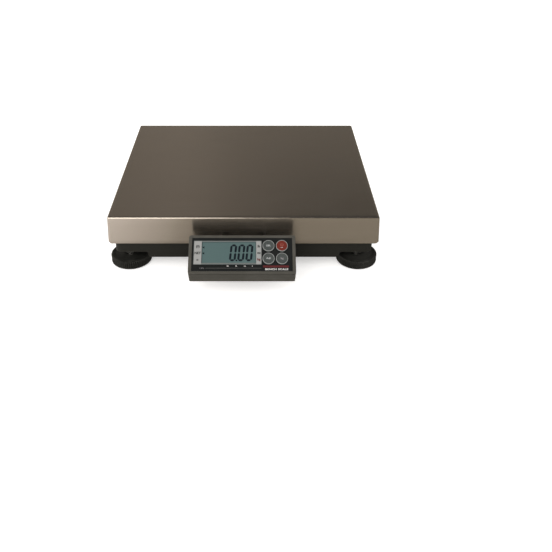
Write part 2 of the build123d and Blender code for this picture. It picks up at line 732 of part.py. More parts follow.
# Levelling feet -----------------------------------------------------------------------------------


def foot_wheel(x, y):
    # A hand wheel with fine vertical grooves, hollow below for its pad.
    grooves = PolarLocations(WHEEL_RADIUS + 0.1, WHEEL_RIBS) * Circle(WHEEL_GROOVE_RADIUS)
    outline = Circle(WHEEL_RADIUS) - grooves
    wheel = extrude(Pos(x, y, WHEEL_LOW) * outline, WHEEL_TOP - WHEEL_LOW)
    wheel -= rod(PAD_RADIUS + 1, WHEEL_LOW - 1, PAD_SEAT, x, y)
    return wheel - rod(STUD_RADIUS + FIXED_GAP, PAD_SEAT - 1, WHEEL_TOP + 1, x, y)


def foot_stud(x, y):
    stud = rod(STUD_RADIUS, PAD_SEAT, STUD_TOP, x, y)
    return chamfer(stud.edges().sort_by(Axis.Z)[-1], 0.8)


def foot_pad(x, y):
    disc_top = PAD_SEAT - PAD_GAP
    disc = rod(PAD_RADIUS, 0, disc_top, x, y)
    disc = chamfer(disc.edges().sort_by(Axis.Z)[0], 0.6)
    return disc + rod(PAD_HUB_RADIUS, disc_top, PAD_SEAT, x, y)


# Assembly -----------------------------------------------------------------------------------------


def build_all():
    nodes = {
        function.__name__: function()
        for function in (
            platter, top_frame, load_cell_top_spacer, load_cell_top_bolts, platter_bumpers,
            base_frame, foot_inserts, foot_lock_nuts, overload_stop_screws, overload_stop_nuts,
            level_vial_body, level_vial_glass, load_cell, load_cell_fixed_spacer, load_cell_fixed_bolts,
            converter_board, board_standoffs, board_screws, board_parts, power_inlet, data_socket,
            cell_cable,
        )
    }
    for function in (display_arm, arm_screws, arm_nuts, tilt_bolts, tilt_washers):
        nodes[function.__name__] = Pos(HEAD_OFFSET, 0, 0) * function()
    head_functions = (
        head_front_shell, head_rear_cover, face_overlay, lcd_bezel, lcd_glass,
        lcd_backlight, display_board, key_switches, head_screws,
    )
    for function in head_functions:
        nodes[function.__name__] = head_place * function()
    for name, place in KEY_PLACES.items():
        nodes[name] = head_place * key_cap(place)
    for corner, (sx, sy) in CORNERS.items():
        x, y = sx * foot_x, sy * foot_y
        nodes["foot_wheel_" + corner] = foot_wheel(x, y)
        nodes["foot_stud_" + corner] = foot_stud(x, y)
        nodes["foot_pad_" + corner] = foot_pad(x, y)
    return nodes


nodes = build_all()
boxes = [shape.bounding_box() for shape in nodes.values()]
front = min(box.min.Y for box in boxes)
rear = max(box.max.Y for box in boxes)
origin_shift = -(front + rear) / 2

os.makedirs("parts", exist_ok=True)
for name, shape in nodes.items():
    export_step(Pos(0, origin_shift, 0) * shape, "parts/" + name + ".step")
print(len(nodes), "nodes; platter centre at y =", round(origin_shift, 3), "mm")
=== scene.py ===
import json
import math
import bmesh
import bpy
import numpy as np
from mathutils import Matrix, Vector

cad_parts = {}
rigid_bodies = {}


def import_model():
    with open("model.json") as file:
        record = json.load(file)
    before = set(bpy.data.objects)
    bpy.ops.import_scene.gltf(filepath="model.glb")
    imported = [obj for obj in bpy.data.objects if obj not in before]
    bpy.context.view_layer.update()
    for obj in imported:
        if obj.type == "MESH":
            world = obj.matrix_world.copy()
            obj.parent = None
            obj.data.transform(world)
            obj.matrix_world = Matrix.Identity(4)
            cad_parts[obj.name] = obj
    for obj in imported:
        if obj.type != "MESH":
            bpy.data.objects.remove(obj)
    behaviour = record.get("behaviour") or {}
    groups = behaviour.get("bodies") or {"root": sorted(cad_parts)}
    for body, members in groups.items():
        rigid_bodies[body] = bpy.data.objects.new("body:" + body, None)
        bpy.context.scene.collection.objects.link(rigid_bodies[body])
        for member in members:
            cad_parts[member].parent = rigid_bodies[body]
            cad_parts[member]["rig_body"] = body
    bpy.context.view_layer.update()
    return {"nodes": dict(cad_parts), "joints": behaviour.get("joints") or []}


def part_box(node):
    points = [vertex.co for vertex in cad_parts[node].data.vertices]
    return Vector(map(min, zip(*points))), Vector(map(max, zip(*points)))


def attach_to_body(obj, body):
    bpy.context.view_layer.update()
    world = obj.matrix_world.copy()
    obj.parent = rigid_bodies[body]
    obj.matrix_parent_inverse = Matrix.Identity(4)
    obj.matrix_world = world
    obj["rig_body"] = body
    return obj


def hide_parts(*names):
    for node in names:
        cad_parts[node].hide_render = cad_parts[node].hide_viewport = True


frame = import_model()

mm = 0.001
joints = {joint["name"]: joint for joint in frame["joints"]}
corners = ["front_left", "front_right", "rear_left", "rear_right"]


# mesh helpers

def surface(name, grid, uv=None, sharpAngle=35):
    # A sheet of quads over a grid of points (rows, columns, 3). Lines that meet are merged, so a closed
    # form repeats its first row or column at the end, and a pole is a row of equal points.
    rows, columns = grid.shape[:2]
    index = np.arange(rows * columns).reshape(rows, columns)
    corner = [index[:-1, :-1], index[:-1, 1:], index[1:, 1:], index[1:, :-1]]
    quads = np.stack(corner, axis=-1).reshape(-1, 4)
    mesh = bpy.data.meshes.new(name)
    mesh.vertices.add(rows * columns)
    mesh.vertices.foreach_set("co", grid.reshape(-1).astype(np.float32))
    mesh.loops.add(quads.size)
    mesh.loops.foreach_set("vertex_index", quads.reshape(-1).astype(np.int32))
    mesh.polygons.add(len(quads))
    mesh.polygons.foreach_set("loop_start", np.arange(0, quads.size, 4, dtype=np.int32))
    mesh.update(calc_edges=True)
    if uv is not None:
        layer = mesh.uv_layers.new(name="sheet")
        layer.data.foreach_set("uv", uv.reshape(-1, 2)[quads.reshape(-1)].reshape(-1).astype(np.float32))
    return tidyMesh(name, mesh, sharpAngle)


def tidyMesh(name, mesh, sharpAngle=35, mergeDistance=2e-6):
    # Welds doubles, turns faces outwards and shades smooth except across sharp edges.
    work = bmesh.new()
    work.from_mesh(mesh)
    bmesh.ops.remove_doubles(work, verts=work.verts, dist=mergeDistance)
    bmesh.ops.dissolve_degenerate(work, edges=work.edges, dist=1e-7)
    bmesh.ops.recalc_face_normals(work, faces=work.faces)
    work.to_mesh(mesh)
    work.free()
    mesh.shade_smooth()
    mesh.set_sharp_from_angle(angle=math.radians(sharpAngle))
    piece = bpy.data.objects.new(name, mesh)
    bpy.context.scene.collection.objects.link(piece)
    return piece


def roundedPath(halfX, halfY, radius, perCorner, perSide, beside=0.0):
    # Plan points of a rounded rectangle, their outward normals, and the distance along the outline from the
    # middle of the nearest corner. Points crowd within the length "beside" next to the corners.
    crowding = np.array([0.06, 0.15, 0.28, 0.44, 0.62, 0.8])
    plan, normal, near = [], [], []
    arc = radius * math.pi / 4
    for quarter in range(4):
        angle = np.linspace(quarter, quarter + 1, perCorner) * math.pi / 2
        direction = np.stack([np.cos(angle), np.sin(angle)], axis=-1)
        middle = np.sign(direction[perCorner // 2]) * np.array([halfX - radius, halfY - radius])
        plan.append(middle + radius * direction)
        normal.append(direction)
        near.append(np.abs(np.linspace(-arc, arc, perCorner)))
        length = 2 * ((halfY, halfX)[(quarter + 1) % 2] - radius)
        if beside:
            crowd = beside * crowding
            inner = np.linspace(beside, length - beside, perSide)
            along = np.concatenate([crowd, inner, length - crowd[::-1]])
        else:
            along = np.linspace(0, length, perSide + 2)[1:-1]
        onward = np.array([-direction[-1][1], direction[-1][0]])
        plan.append(plan[-1][-1] + along[:, None] * onward)
        normal.append(np.repeat(direction[-1:], len(along), 0))
        near.append(arc + np.minimum(along, length - along))
    plan.append(plan[0][:1])
    normal.append(normal[0][:1])
    near.append(near[0][:1])
    return np.concatenate(plan), np.concatenate(normal), np.concatenate(near)


def arcProfile(centre, radius, startDegrees, endDegrees, steps):
    # Points of an arc as (offset, height).
    angle = np.radians(np.linspace(startDegrees, endDegrees, steps))
    return np.stack([centre[0] + radius * np.cos(angle), centre[1] + radius * np.sin(angle)], axis=-1)


def lathe(name, profile, centre, place):
    # A profile of (radius, height) turned once about an axis through centre, then moved to its place.
    steps = 56
    angle = np.linspace(0, 2 * math.pi, steps + 1)
    grid = np.empty((len(profile), steps + 1, 3))
    grid[..., 0] = centre[0] + profile[:, 0:1] * np.cos(angle)
    grid[..., 1] = centre[1] + profile[:, 0:1] * np.sin(angle)
    grid[..., 2] = profile[:, 1:2]
    return surface(name, placed(grid, place))


def placed(points, place):
    # Points moved by a 4 x 4 place.
    matrix = np.array(place)
    return points @ matrix[:3, :3].T + matrix[:3, 3]


def softened(node, bevel, material):
    # A welded copy of a CAD node with its flat facets joined and its sharp edges eased.
    sharpAngle = math.radians(30)
    mesh = frame["nodes"][node].data.copy()
    work = bmesh.new()
    work.from_mesh(mesh)
    bmesh.ops.remove_doubles(work, verts=work.verts, dist=3e-6)
    bmesh.ops.dissolve_limit(work, angle_limit=math.radians(0.6), verts=work.verts, edges=work.edges)
    work.to_mesh(mesh)
    work.free()
    mesh.materials.clear()
    mesh.shade_smooth()
    mesh.set_sharp_from_angle(angle=sharpAngle)
    piece = bpy.data.objects.new(node + "_eased", mesh)
    bpy.context.scene.collection.objects.link(piece)
    edge = piece.modifiers.new("easedEdges", "BEVEL")
    edge.width = bevel
    edge.segments = 2
    edge.limit_method = "ANGLE"
    edge.angle_limit = sharpAngle
    edge.harden_normals = True
    edge.use_clamp_overlap = True
    body = frame["nodes"][node]["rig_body"]
    return attach(piece, body, material, [node])


def attach(piece, body, material, standsFor=()):
    # Gives a piece its material and body, and hides the CAD nodes it stands for.
    piece.data.materials.clear()
    piece.data.materials.append(material)
    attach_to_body(piece, body)
    if standsFor:
        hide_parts(*standsFor)
    return piece


def paintNode(node, material):
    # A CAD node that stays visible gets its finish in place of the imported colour.
    mesh = frame["nodes"][node].data
    mesh.materials.clear()
    mesh.materials.append(material)


# shader helpers

def rgb(red, green, blue):
    return (red, green, blue, 1.0)


def addNode(tree, kind, inputs=None, **settings):
    # A node with its settings, and its sockets either set to a value or linked.
    node = tree.nodes.new(kind)
    for name, value in settings.items():
        setattr(node, name, value)
    for name, value in (inputs or {}).items():
        socket = node.inputs[name]
        if isinstance(value, bpy.types.NodeSocket):
            tree.links.new(value, socket)
        else:
            socket.default_value = value
    return node


def mathNode(tree, operation, first, second=None):
    values = {0: first} if second is None else {0: first, 1: second}
    return addNode(tree, "ShaderNodeMath", values, operation=operation).outputs[0]


def noiseNode(tree, place, scale, detail=2.0, **inputs):
    values = {"Vector": place, "Scale": scale, "Detail": detail, **inputs}
    return addNode(tree, "ShaderNodeTexNoise", values).outputs[0]


def ramp(tree, value, low, high):
    # 0 at low, 1 at high, eased between them.
    return addNode(tree, "ShaderNodeMapRange", {
        "Value": value, "From Min": low, "From Max": high}, interpolation_type="SMOOTHSTEP").outputs[0]


def spread(tree, value, low, high):
    # A 0 to 1 value spread over low to high.
    return addNode(tree, "ShaderNodeMapRange", {"Value": value, "To Min": low, "To Max": high}).outputs[0]


def blendColors(tree, amount, first, second, blend="MIX"):
    values = {0: amount, 6: first, 7: second}
    return addNode(tree, "ShaderNodeMix", values, data_type="RGBA", blend_type=blend).outputs[2]


# shared shader effects

def effectGroup(name, inputs, outputs):
    group = bpy.data.node_groups.new(name, "ShaderNodeTree")
    for label, kind, value in inputs:
        socket = group.interface.new_socket(name=label, in_out="INPUT", socket_type=kind)
        if value is not None:
            socket.default_value = value
    for label, kind in outputs:
        group.interface.new_socket(name=label, in_out="OUTPUT", socket_type=kind)
    return group, group.nodes.new("NodeGroupInput"), group.nodes.new("NodeGroupOutput")


def brushedGrainGroup():
    # Long fine lines along the vector's first axis, and broad soft bands of tone across it.
    group, source, result = effectGroup(
        "brushedGrain",
        [("Vector", "NodeSocketVector", None), ("Line Length", "NodeSocketFloat", 0.03),
         ("Line Width", "NodeSocketFloat", 0.00025)],
        [("Height", "NodeSocketFloat"), ("Tone", "NodeSocketFloat")])
    length, width = source.outputs["Line Length"], source.outputs["Line Width"]
    size = addNode(group, "ShaderNodeCombineXYZ", {"X": length, "Y": width, "Z": width})
    stretched = addNode(group, "ShaderNodeVectorMath", {
        0: source.outputs["Vector"], 1: size.outputs[0]}, operation="DIVIDE").outputs[0]
    broad = addNode(group, "ShaderNodeVectorMath", {
        0: stretched, 1: (0.35, 0.06, 0.06)}, operation="MULTIPLY").outputs[0]
    lines = noiseNode(group, stretched, 1.0, 3.0, Roughness=0.65)
    bands = noiseNode(group, broad, 1.0, 2.0, Roughness=0.5)
    group.links.new(lines, result.inputs["Height"])
    group.links.new(bands, result.inputs["Tone"])
    return group


def mouldedGrainGroup():
    # The fine even pebble of spark-eroded moulds or powder coat.
    group, source, result = effectGroup(
        "mouldedGrain",
        [("Vector", "NodeSocketVector", None), ("Grain Size", "NodeSocketFloat", 0.0006)],
        [("Height", "NodeSocketFloat")])
    scale = mathNode(group, "DIVIDE", 1.0, source.outputs["Grain Size"])
    cells = addNode(group, "ShaderNodeTexVoronoi", {
        "Vector": source.outputs["Vector"], "Scale": scale, "Randomness": 1.0}, feature="SMOOTH_F1")
    pebbles = mathNode(group, "MULTIPLY", cells.outputs["Distance"], 0.7)
    fine = mathNode(group, "MULTIPLY", noiseNode(group, source.outputs["Vector"], scale), 0.5)
    group.links.new(mathNode(group, "ADD", pebbles, fine), result.inputs["Height"])
    return group


def handlingGroup():
    # Smudge: soft patches left by hands. Dust: settles on faces that look up, in uneven patches.
    group, source, result = effectGroup(
        "handling",
        [("Vector", "NodeSocketVector", None), ("Patch Size", "NodeSocketFloat", 0.05)],
        [("Smudge", "NodeSocketFloat"), ("Dust", "NodeSocketFloat")])
    scale = mathNode(group, "DIVIDE", 1.0, source.outputs["Patch Size"])
    patches = noiseNode(group, source.outputs["Vector"], scale, 4.0, Roughness=0.55, Distortion=0.4)
    specks = noiseNode(group, source.outputs["Vector"], 900.0)
    geometry = addNode(group, "ShaderNodeNewGeometry")
    upward = addNode(group, "ShaderNodeSeparateXYZ", {0: geometry.outputs["Normal"]}).outputs["Z"]
    facing = mathNode(group, "POWER", mathNode(group, "MAXIMUM", upward, 0.0), 3.0)
    dust = mathNode(group, "MULTIPLY", facing, mathNode(group, "MULTIPLY", specks, patches))
    group.links.new(ramp(group, patches, 0.42, 0.68), result.inputs["Smudge"])
    group.links.new(dust, result.inputs["Dust"])
    return group


def edgeWearGroup():
    # A thin broken line along edges: where a normal rounded over Reach turns away from the true one.
    group, source, result = effectGroup(
        "edgeWear",
        [("Vector", "NodeSocketVector", None), ("Reach", "NodeSocketFloat", 0.0005)],
        [("Wear", "NodeSocketFloat")])
    geometry = addNode(group, "ShaderNodeNewGeometry")
    rounded = addNode(group, "ShaderNodeBevel", {"Radius": source.outputs["Reach"]}, samples=4)
    level = addNode(group, "ShaderNodeVectorMath", {
        0: rounded.outputs[0], 1: geometry.outputs["Normal"]}, operation="DOT_PRODUCT")
    turned = addNode(group, "ShaderNodeMapRange", {
        "Value": level.outputs["Value"], "From Min": 0.985, "From Max": 0.80}).outputs[0]
    patchy = ramp(group, noiseNode(group, source.outputs["Vector"], 260.0, 3.0), 0.35, 0.65)
    group.links.new(mathNode(group, "MULTIPLY", turned, patchy), result.inputs["Wear"])
    return group


effects = {
    "brushedGrain": brushedGrainGroup(),
    "mouldedGrain": mouldedGrainGroup(),
    "handling": handlingGroup(),
    "edgeWear": edgeWearGroup(),
}


def useEffect(tree, name, **inputs):
    # A shared effect placed in a material with that material's own values.
    values = {label.replace("_", " "): value for label, value in inputs.items()}
    return addNode(tree, "ShaderNodeGroup", values, node_tree=effects[name])


# materials

def startMaterial(name, **constants):
    material = bpy.data.materials.new(name)
    material.use_nodes = True
    tree = material.node_tree
    shader = tree.nodes["Principled BSDF"]
    for label, value in constants.items():
        shader.inputs[label.replace("_", " ")].default_value = value
    place = tree.nodes.new("ShaderNodeTexCoord").outputs["Object"]
    return material, tree, shader, place


def bumpInto(tree, shader, height, distance):
    bump = addNode(tree, "ShaderNodeBump", {"Height": height, "Distance": distance})
    tree.links.new(bump.outputs[0], shader.inputs["Normal"])


def brushedStainless():
    look = {
        "steel": rgb(0.50, 0.455, 0.40), "steelLight": rgb(0.56, 0.51, 0.455), "roughness": (0.19, 0.25),
        "lineLength": 0.045, "lineWidth": 0.00028, "lineDepth": 0.000004, "patch": 0.07, "smudge": 0.035,
        "dentSize": 0.11, "dentDepth": 0.0001,
    }
    material, tree, shader, place = startMaterial(
        "brushedStainless", Metallic=1.0, Anisotropic=0.72, Anisotropic_Rotation=0.25)
    sheet = addNode(tree, "ShaderNodeUVMap", uv_map="sheet").outputs[0]
    grain = useEffect(
        tree, "brushedGrain", Vector=sheet, Line_Length=look["lineLength"], Line_Width=look["lineWidth"])
    hands = useEffect(tree, "handling", Vector=place, Patch_Size=look["patch"])
    tone = blendColors(tree, grain.outputs["Tone"], look["steel"], look["steelLight"])
    tree.links.new(tone, shader.inputs["Base Color"])
    rough = mathNode(tree, "ADD", spread(tree, grain.outputs["Tone"], *look["roughness"]),
                     mathNode(tree, "MULTIPLY", hands.outputs["Smudge"], look["smudge"]))
    tree.links.new(rough, shader.inputs["Roughness"])
    tangent = addNode(tree, "ShaderNodeTangent", direction_type="UV_MAP", uv_map="sheet")
    tree.links.new(tangent.outputs[0], shader.inputs["Tangent"])
    dents = noiseNode(tree, place, 1 / look["dentSize"], 1.0)
    wide = addNode(tree, "ShaderNodeBump", {"Height": dents, "Distance": look["dentDepth"]})
    fine = addNode(tree, "ShaderNodeBump", {
        "Height": grain.outputs["Height"], "Distance": look["lineDepth"], "Normal": wide.outputs[0]})
    tree.links.new(fine.outputs[0], shader.inputs["Normal"])
    return material


def powderCoat():
    # Black powder coat, with dust on what looks up and worn edges.
    look = {
        "paint": rgb(0.0165, 0.0160, 0.0130), "dust": rgb(0.22, 0.21, 0.19), "bare": rgb(0.20, 0.20, 0.19),
        "wear": 0.35, "grainSize": 0.0007, "grainDepth": 0.00006, "patch": 0.04, "roughness": (0.42, 0.55),
    }
    material, tree, shader, place = startMaterial("frameBlack", Specular_IOR_Level=0.15)
    grain = useEffect(tree, "mouldedGrain", Vector=place, Grain_Size=look["grainSize"])
    hands = useEffect(tree, "handling", Vector=place, Patch_Size=look["patch"])
    wear = useEffect(tree, "edgeWear", Vector=place)
    paint = blendColors(tree, hands.outputs["Dust"], look["paint"], look["dust"])
    rubbed = mathNode(tree, "MULTIPLY", wear.outputs["Wear"], look["wear"])
    tree.links.new(blendColors(tree, rubbed, paint, look["bare"]), shader.inputs["Base Color"])
    tree.links.new(spread(tree, hands.outputs["Smudge"], *look["roughness"]), shader.inputs["Roughness"])
    bumpInto(tree, shader, grain.outputs["Height"], look["grainDepth"])
    return material


def mouldedPlastic(name, color, lighter, roughness=(0.38, 0.5), grainSize=0.0005, depth=0.00004,
                   coat=0.0, gloss=0.5):
    # Handled patches and worn edges turn towards the lighter tone.
    look = {"patch": 0.03, "smudge": 0.5, "wear": 0.4, "coatRoughness": 0.25}
    material, tree, shader, place = startMaterial(
        name, Coat_Weight=coat, Coat_Roughness=look["coatRoughness"], Specular_IOR_Level=gloss)
    grain = useEffect(tree, "mouldedGrain", Vector=place, Grain_Size=grainSize)
    hands = useEffect(tree, "handling", Vector=place, Patch_Size=look["patch"])
    wear = useEffect(tree, "edgeWear", Vector=place)
    handled = mathNode(tree, "MULTIPLY", hands.outputs["Smudge"], look["smudge"])
    rubbed = mathNode(tree, "MULTIPLY", wear.outputs["Wear"], look["wear"])
    tone = blendColors(tree, handled, color, lighter)
    tree.links.new(blendColors(tree, rubbed, tone, lighter), shader.inputs["Base Color"])
    tree.links.new(spread(tree, hands.outputs["Smudge"], *roughness), shader.inputs["Roughness"])
    bumpInto(tree, shader, grain.outputs["Height"], depth)
    return material


def metalPart(name, color, roughness, grainSize=0.0008):
    look = {"patch": 0.02, "handled": 0.78, "grainDepth": 0.00002}
    material, tree, shader, place = startMaterial(name, Metallic=1.0)
    grain = useEffect(tree, "mouldedGrain", Vector=place, Grain_Size=grainSize)
    hands = useEffect(tree, "handling", Vector=place, Patch_Size=look["patch"])
    darker = rgb(*[channel * look["handled"] for channel in color[:3]])
    tone = blendColors(tree, hands.outputs["Smudge"], color, darker)
    tree.links.new(tone, shader.inputs["Base Color"])
    tree.links.new(spread(tree, hands.outputs["Smudge"], *roughness), shader.inputs["Roughness"])
    bumpInto(tree, shader, grain.outputs["Height"], look["grainDepth"])
    return material


def printedInk(name, color, darker, gloss=0.3):
    # Screen print: a thin even film with faint mottling.
    look = {"roughness": 0.45, "mottle": 1800.0, "depth": 0.000004}
    material, tree, shader, place = startMaterial(
        name, Roughness=look["roughness"], Specular_IOR_Level=gloss)
    mottle = noiseNode(tree, place, look["mottle"])
    tree.links.new(blendColors(tree, mottle, color, darker), shader.inputs["Base Color"])
    bumpInto(tree, shader, mottle, look["depth"])
    return material


def lcdPanel():
    # Grey-green cell: a soft tonal drift, a faint grid of electrodes and a glossy front.
    look = {
        "cell": rgb(0.055, 0.100, 0.100), "cellLight": rgb(0.076, 0.122, 0.119), "drift": 16.0,
        "electrode": rgb(0.06, 0.10, 0.10), "electrodes": 420.0, "electrodeShare": 0.06,
        "roughness": (0.28, 0.4), "depth": 0.00002,
    }
    material, tree, shader, place = startMaterial("lcdPanel", Coat_Weight=0.6, Coat_Roughness=0.12)
    drift = noiseNode(tree, place, look["drift"], 1.0)
    tone = blendColors(tree, drift, look["cell"], look["cellLight"])
    lines = addNode(tree, "ShaderNodeTexWave", {"Vector": place, "Scale": look["electrodes"]},
                    wave_type="BANDS", bands_direction="X")
    faint = mathNode(tree, "MULTIPLY", lines.outputs["Fac"], look["electrodeShare"])
    tree.links.new(blendColors(tree, faint, tone, look["electrode"]), shader.inputs["Base Color"])
    tree.links.new(spread(tree, drift, *look["roughness"]), shader.inputs["Roughness"])
    bumpInto(tree, shader, drift, look["depth"])
    return material


def levelLiquid():
    look = {"liquid": rgb(0.36, 0.55, 0.05), "liquidLight": rgb(0.48, 0.66, 0.10), "drift": 90.0}
    material, tree, shader, place = startMaterial(
        "vialLiquid", Roughness=0.05, Coat_Weight=1.0, Coat_Roughness=0.03)
    drift = noiseNode(tree, place, look["drift"])
    tree.links.new(blendColors(tree, drift, look["liquid"], look["liquidLight"]), shader.inputs["Base Color"])
    return material


stainless = brushedStainless()
frameBlack = powderCoat()
headPlastic = mouldedPlastic(
    "headPlastic", rgb(0.061, 0.0575, 0.0485), rgb(0.083, 0.078, 0.068), gloss=0.15)
wheelPlastic = mouldedPlastic(
    "wheelPlastic", rgb(0.014, 0.014, 0.012), rgb(0.035, 0.034, 0.030), (0.45, 0.6), gloss=0.25)
overlayFilm = mouldedPlastic(
    "overlayFilm", rgb(0.0098, 0.0108, 0.0108), rgb(0.0145, 0.0156, 0.0152), (0.3, 0.38),
    grainSize=0.0004, depth=0.00001, coat=0.05, gloss=0.15)
keyGrey = mouldedPlastic(
    "keyGrey", rgb(0.046, 0.052, 0.050), rgb(0.061, 0.068, 0.065), (0.4, 0.5), gloss=0.3)
keyRed = mouldedPlastic(
    "keyRed", rgb(0.110, 0.011, 0.006), rgb(0.155, 0.020, 0.010), (0.36, 0.46), gloss=0.3)
keyRingGrey = mouldedPlastic("keyRingGrey", rgb(0.24, 0.25, 0.24), rgb(0.30, 0.31, 0.30), (0.35, 0.45))
blackRubber = mouldedPlastic("blackRubber", rgb(0.016, 0.016, 0.016), rgb(0.03, 0.03, 0.03), (0.65, 0.8))
cableJacket = mouldedPlastic("cableJacket", rgb(0.10, 0.10, 0.10), rgb(0.14, 0.14, 0.14), (0.5, 0.6))
componentBlack = mouldedPlastic("componentBlack", rgb(0.02, 0.02, 0.02), rgb(0.04, 0.04, 0.04))
circuitBoard = mouldedPlastic("circuitBoard", rgb(0.012, 0.10, 0.035), rgb(0.02, 0.15, 0.05), coat=0.5)
vialRim = mouldedPlastic("vialRim", rgb(0.5, 0.5, 0.48), rgb(0.6, 0.6, 0.58), (0.2, 0.3))
labelWhite = printedInk("labelWhite", rgb(0.135, 0.15, 0.145), rgb(0.115, 0.128, 0.124))
stripWhite = printedInk("stripWhite", rgb(0.285, 0.285, 0.277), rgb(0.25, 0.25, 0.242))
inkWhite = printedInk("inkWhite", rgb(0.62, 0.60, 0.57), rgb(0.54, 0.52, 0.5))
inkBright = printedInk("inkBright", rgb(0.36, 0.37, 0.365), rgb(0.31, 0.32, 0.315))
inkPale = printedInk("inkPale", rgb(0.24, 0.23, 0.235), rgb(0.20, 0.19, 0.195))
inkGrey = printedInk("inkGrey", rgb(0.10, 0.10, 0.095), rgb(0.08, 0.08, 0.075))
inkRose = printedInk("inkRose", rgb(0.31, 0.085, 0.06), rgb(0.26, 0.07, 0.05))
inkRed = printedInk("inkRed", rgb(0.105, 0.013, 0.014), rgb(0.08, 0.011, 0.011))
inkDark = printedInk("inkDark", rgb(0.018, 0.018, 0.018), rgb(0.03, 0.03, 0.03))
lcdInk = printedInk("lcdInk", rgb(0.005, 0.008, 0.012), rgb(0.008, 0.012, 0.016), gloss=0.1)
# Painted shade for the edges of the display glass, made as a thin dark film.
lcdShade = printedInk("lcdShade", rgb(0.014, 0.024, 0.027), rgb(0.018, 0.030, 0.033), gloss=0.1)
lcdFace = lcdPanel()
zincSteel = metalPart("zincSteel", rgb(0.55, 0.55, 0.53), (0.22, 0.36))
brassPart = metalPart("brassPart", rgb(0.62, 0.44, 0.17), (0.25, 0.4))
cellAluminium = metalPart("cellAluminium", rgb(0.62, 0.63, 0.64), (0.3, 0.42), grainSize=0.0012)
vialLiquid = levelLiquid()
print("materials made")


# platter

def platterPan():
    # A sheet pan: the profile runs from the middle of the top, round the bend, down the leaning skirt, round
    # its lower edge and back inside. It is carried round a rounded rectangle, and the lower edge rises in a
    # quarter ellipse on both sides of each corner.
    pan = {
        "sheet": 1.2 * mm, "bend": 2.2 * mm, "flare": 1.8 * mm, "planCorner": 2.6 * mm,
        "panelCorner": 2.8 * mm, "cornerRise": 0.9, "cornerSteps": 13, "sideSteps": 9,
        "topShares": (0.0, 0.25, 0.5, 0.75, 0.97), "skirtShares": np.linspace(0.08, 1, 8),
    }
    low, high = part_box("platter")
    middle = (np.array(low) + np.array(high)) / 2
    half = (np.array(high) - np.array(low)) / 2 - pan["flare"]
    sheet, bend = pan["sheet"], pan["bend"]
    top, foot = high.z, low.z
    plan, normal, near = roundedPath(
        half[0], half[1], pan["planCorner"], pan["cornerSteps"], pan["sideSteps"], pan["panelCorner"])
    reach = np.clip(1 - near / pan["panelCorner"], 0, 1)
    hemRadius = sheet / 2
    hemTop = foot + hemRadius + pan["cornerRise"] * pan["panelCorner"] * (1 - np.sqrt(1 - reach ** 2))

    def ring(share, offset, height):
        # one closed line: the plan outline moved outwards by offset, then shrunk towards the middle
        row = np.empty((len(plan), 3))
        row[:, :2] = (plan + normal * np.broadcast_to(offset, len(plan))[:, None]) * share
        row[:, 2] = height
        return row

    def leaning(height):
        # how far the skirt stands out of the top's outline at a height
        return pan["flare"] * (top - height) / (top - foot)

    skirt = [(top - bend) * (1 - share) + hemTop * share for share in pan["skirtShares"]]
    outerBend = arcProfile((-bend, top - bend), bend, 90, 0, 9)
    innerBend = arcProfile((-bend, top - bend), bend - sheet, 0, 90, 5)
    hem = arcProfile((0.0, 0.0), hemRadius, 0, -180, 7)[1:]
    rows = [ring(share, -bend, top) for share in pan["topShares"]]
    rows += [ring(1, offset, height) for offset, height in outerBend]
    rows += [ring(1, leaning(height), height) for height in skirt]
    rows += [ring(1, leaning(hemTop) - hemRadius + offset, hemTop + height) for offset, height in hem]
    rows += [ring(1, leaning(height) - sheet, height) for height in skirt[-2::-1]]
    rows += [ring(1, offset, height) for offset, height in innerBend]
    rows += [ring(share, -bend, top - sheet) for share in pan["topShares"][::-1]]
    grid = np.stack(rows)
    flat = developed(grid, len(pan["topShares"]), plan - normal * bend, normal)
    grid[..., :2] += middle[:2]
    piece = surface("platterPan", grid, uv=flat)
    return attach(piece, "platter", stainless, ["platter"])


def developed(grid, firstBend, edge, normal):
    # Sheet coordinates in metres: the flat top as it lies, and the rest folded out level with it, each point
    # as far out from the edge of the flat as it is along the sheet.
    step = np.linalg.norm(np.diff(grid, axis=0), axis=-1)
    travelled = np.concatenate([np.zeros((1, grid.shape[1])), np.cumsum(step, axis=0)])
    beyond = travelled - travelled[firstBend]
    flat = grid[..., :2].copy()
    flat[firstBend:] = (edge[None] + normal[None] * beyond[..., None])[firstBend:]
    return flat


platterPan()
print("platter made")


# levelling feet

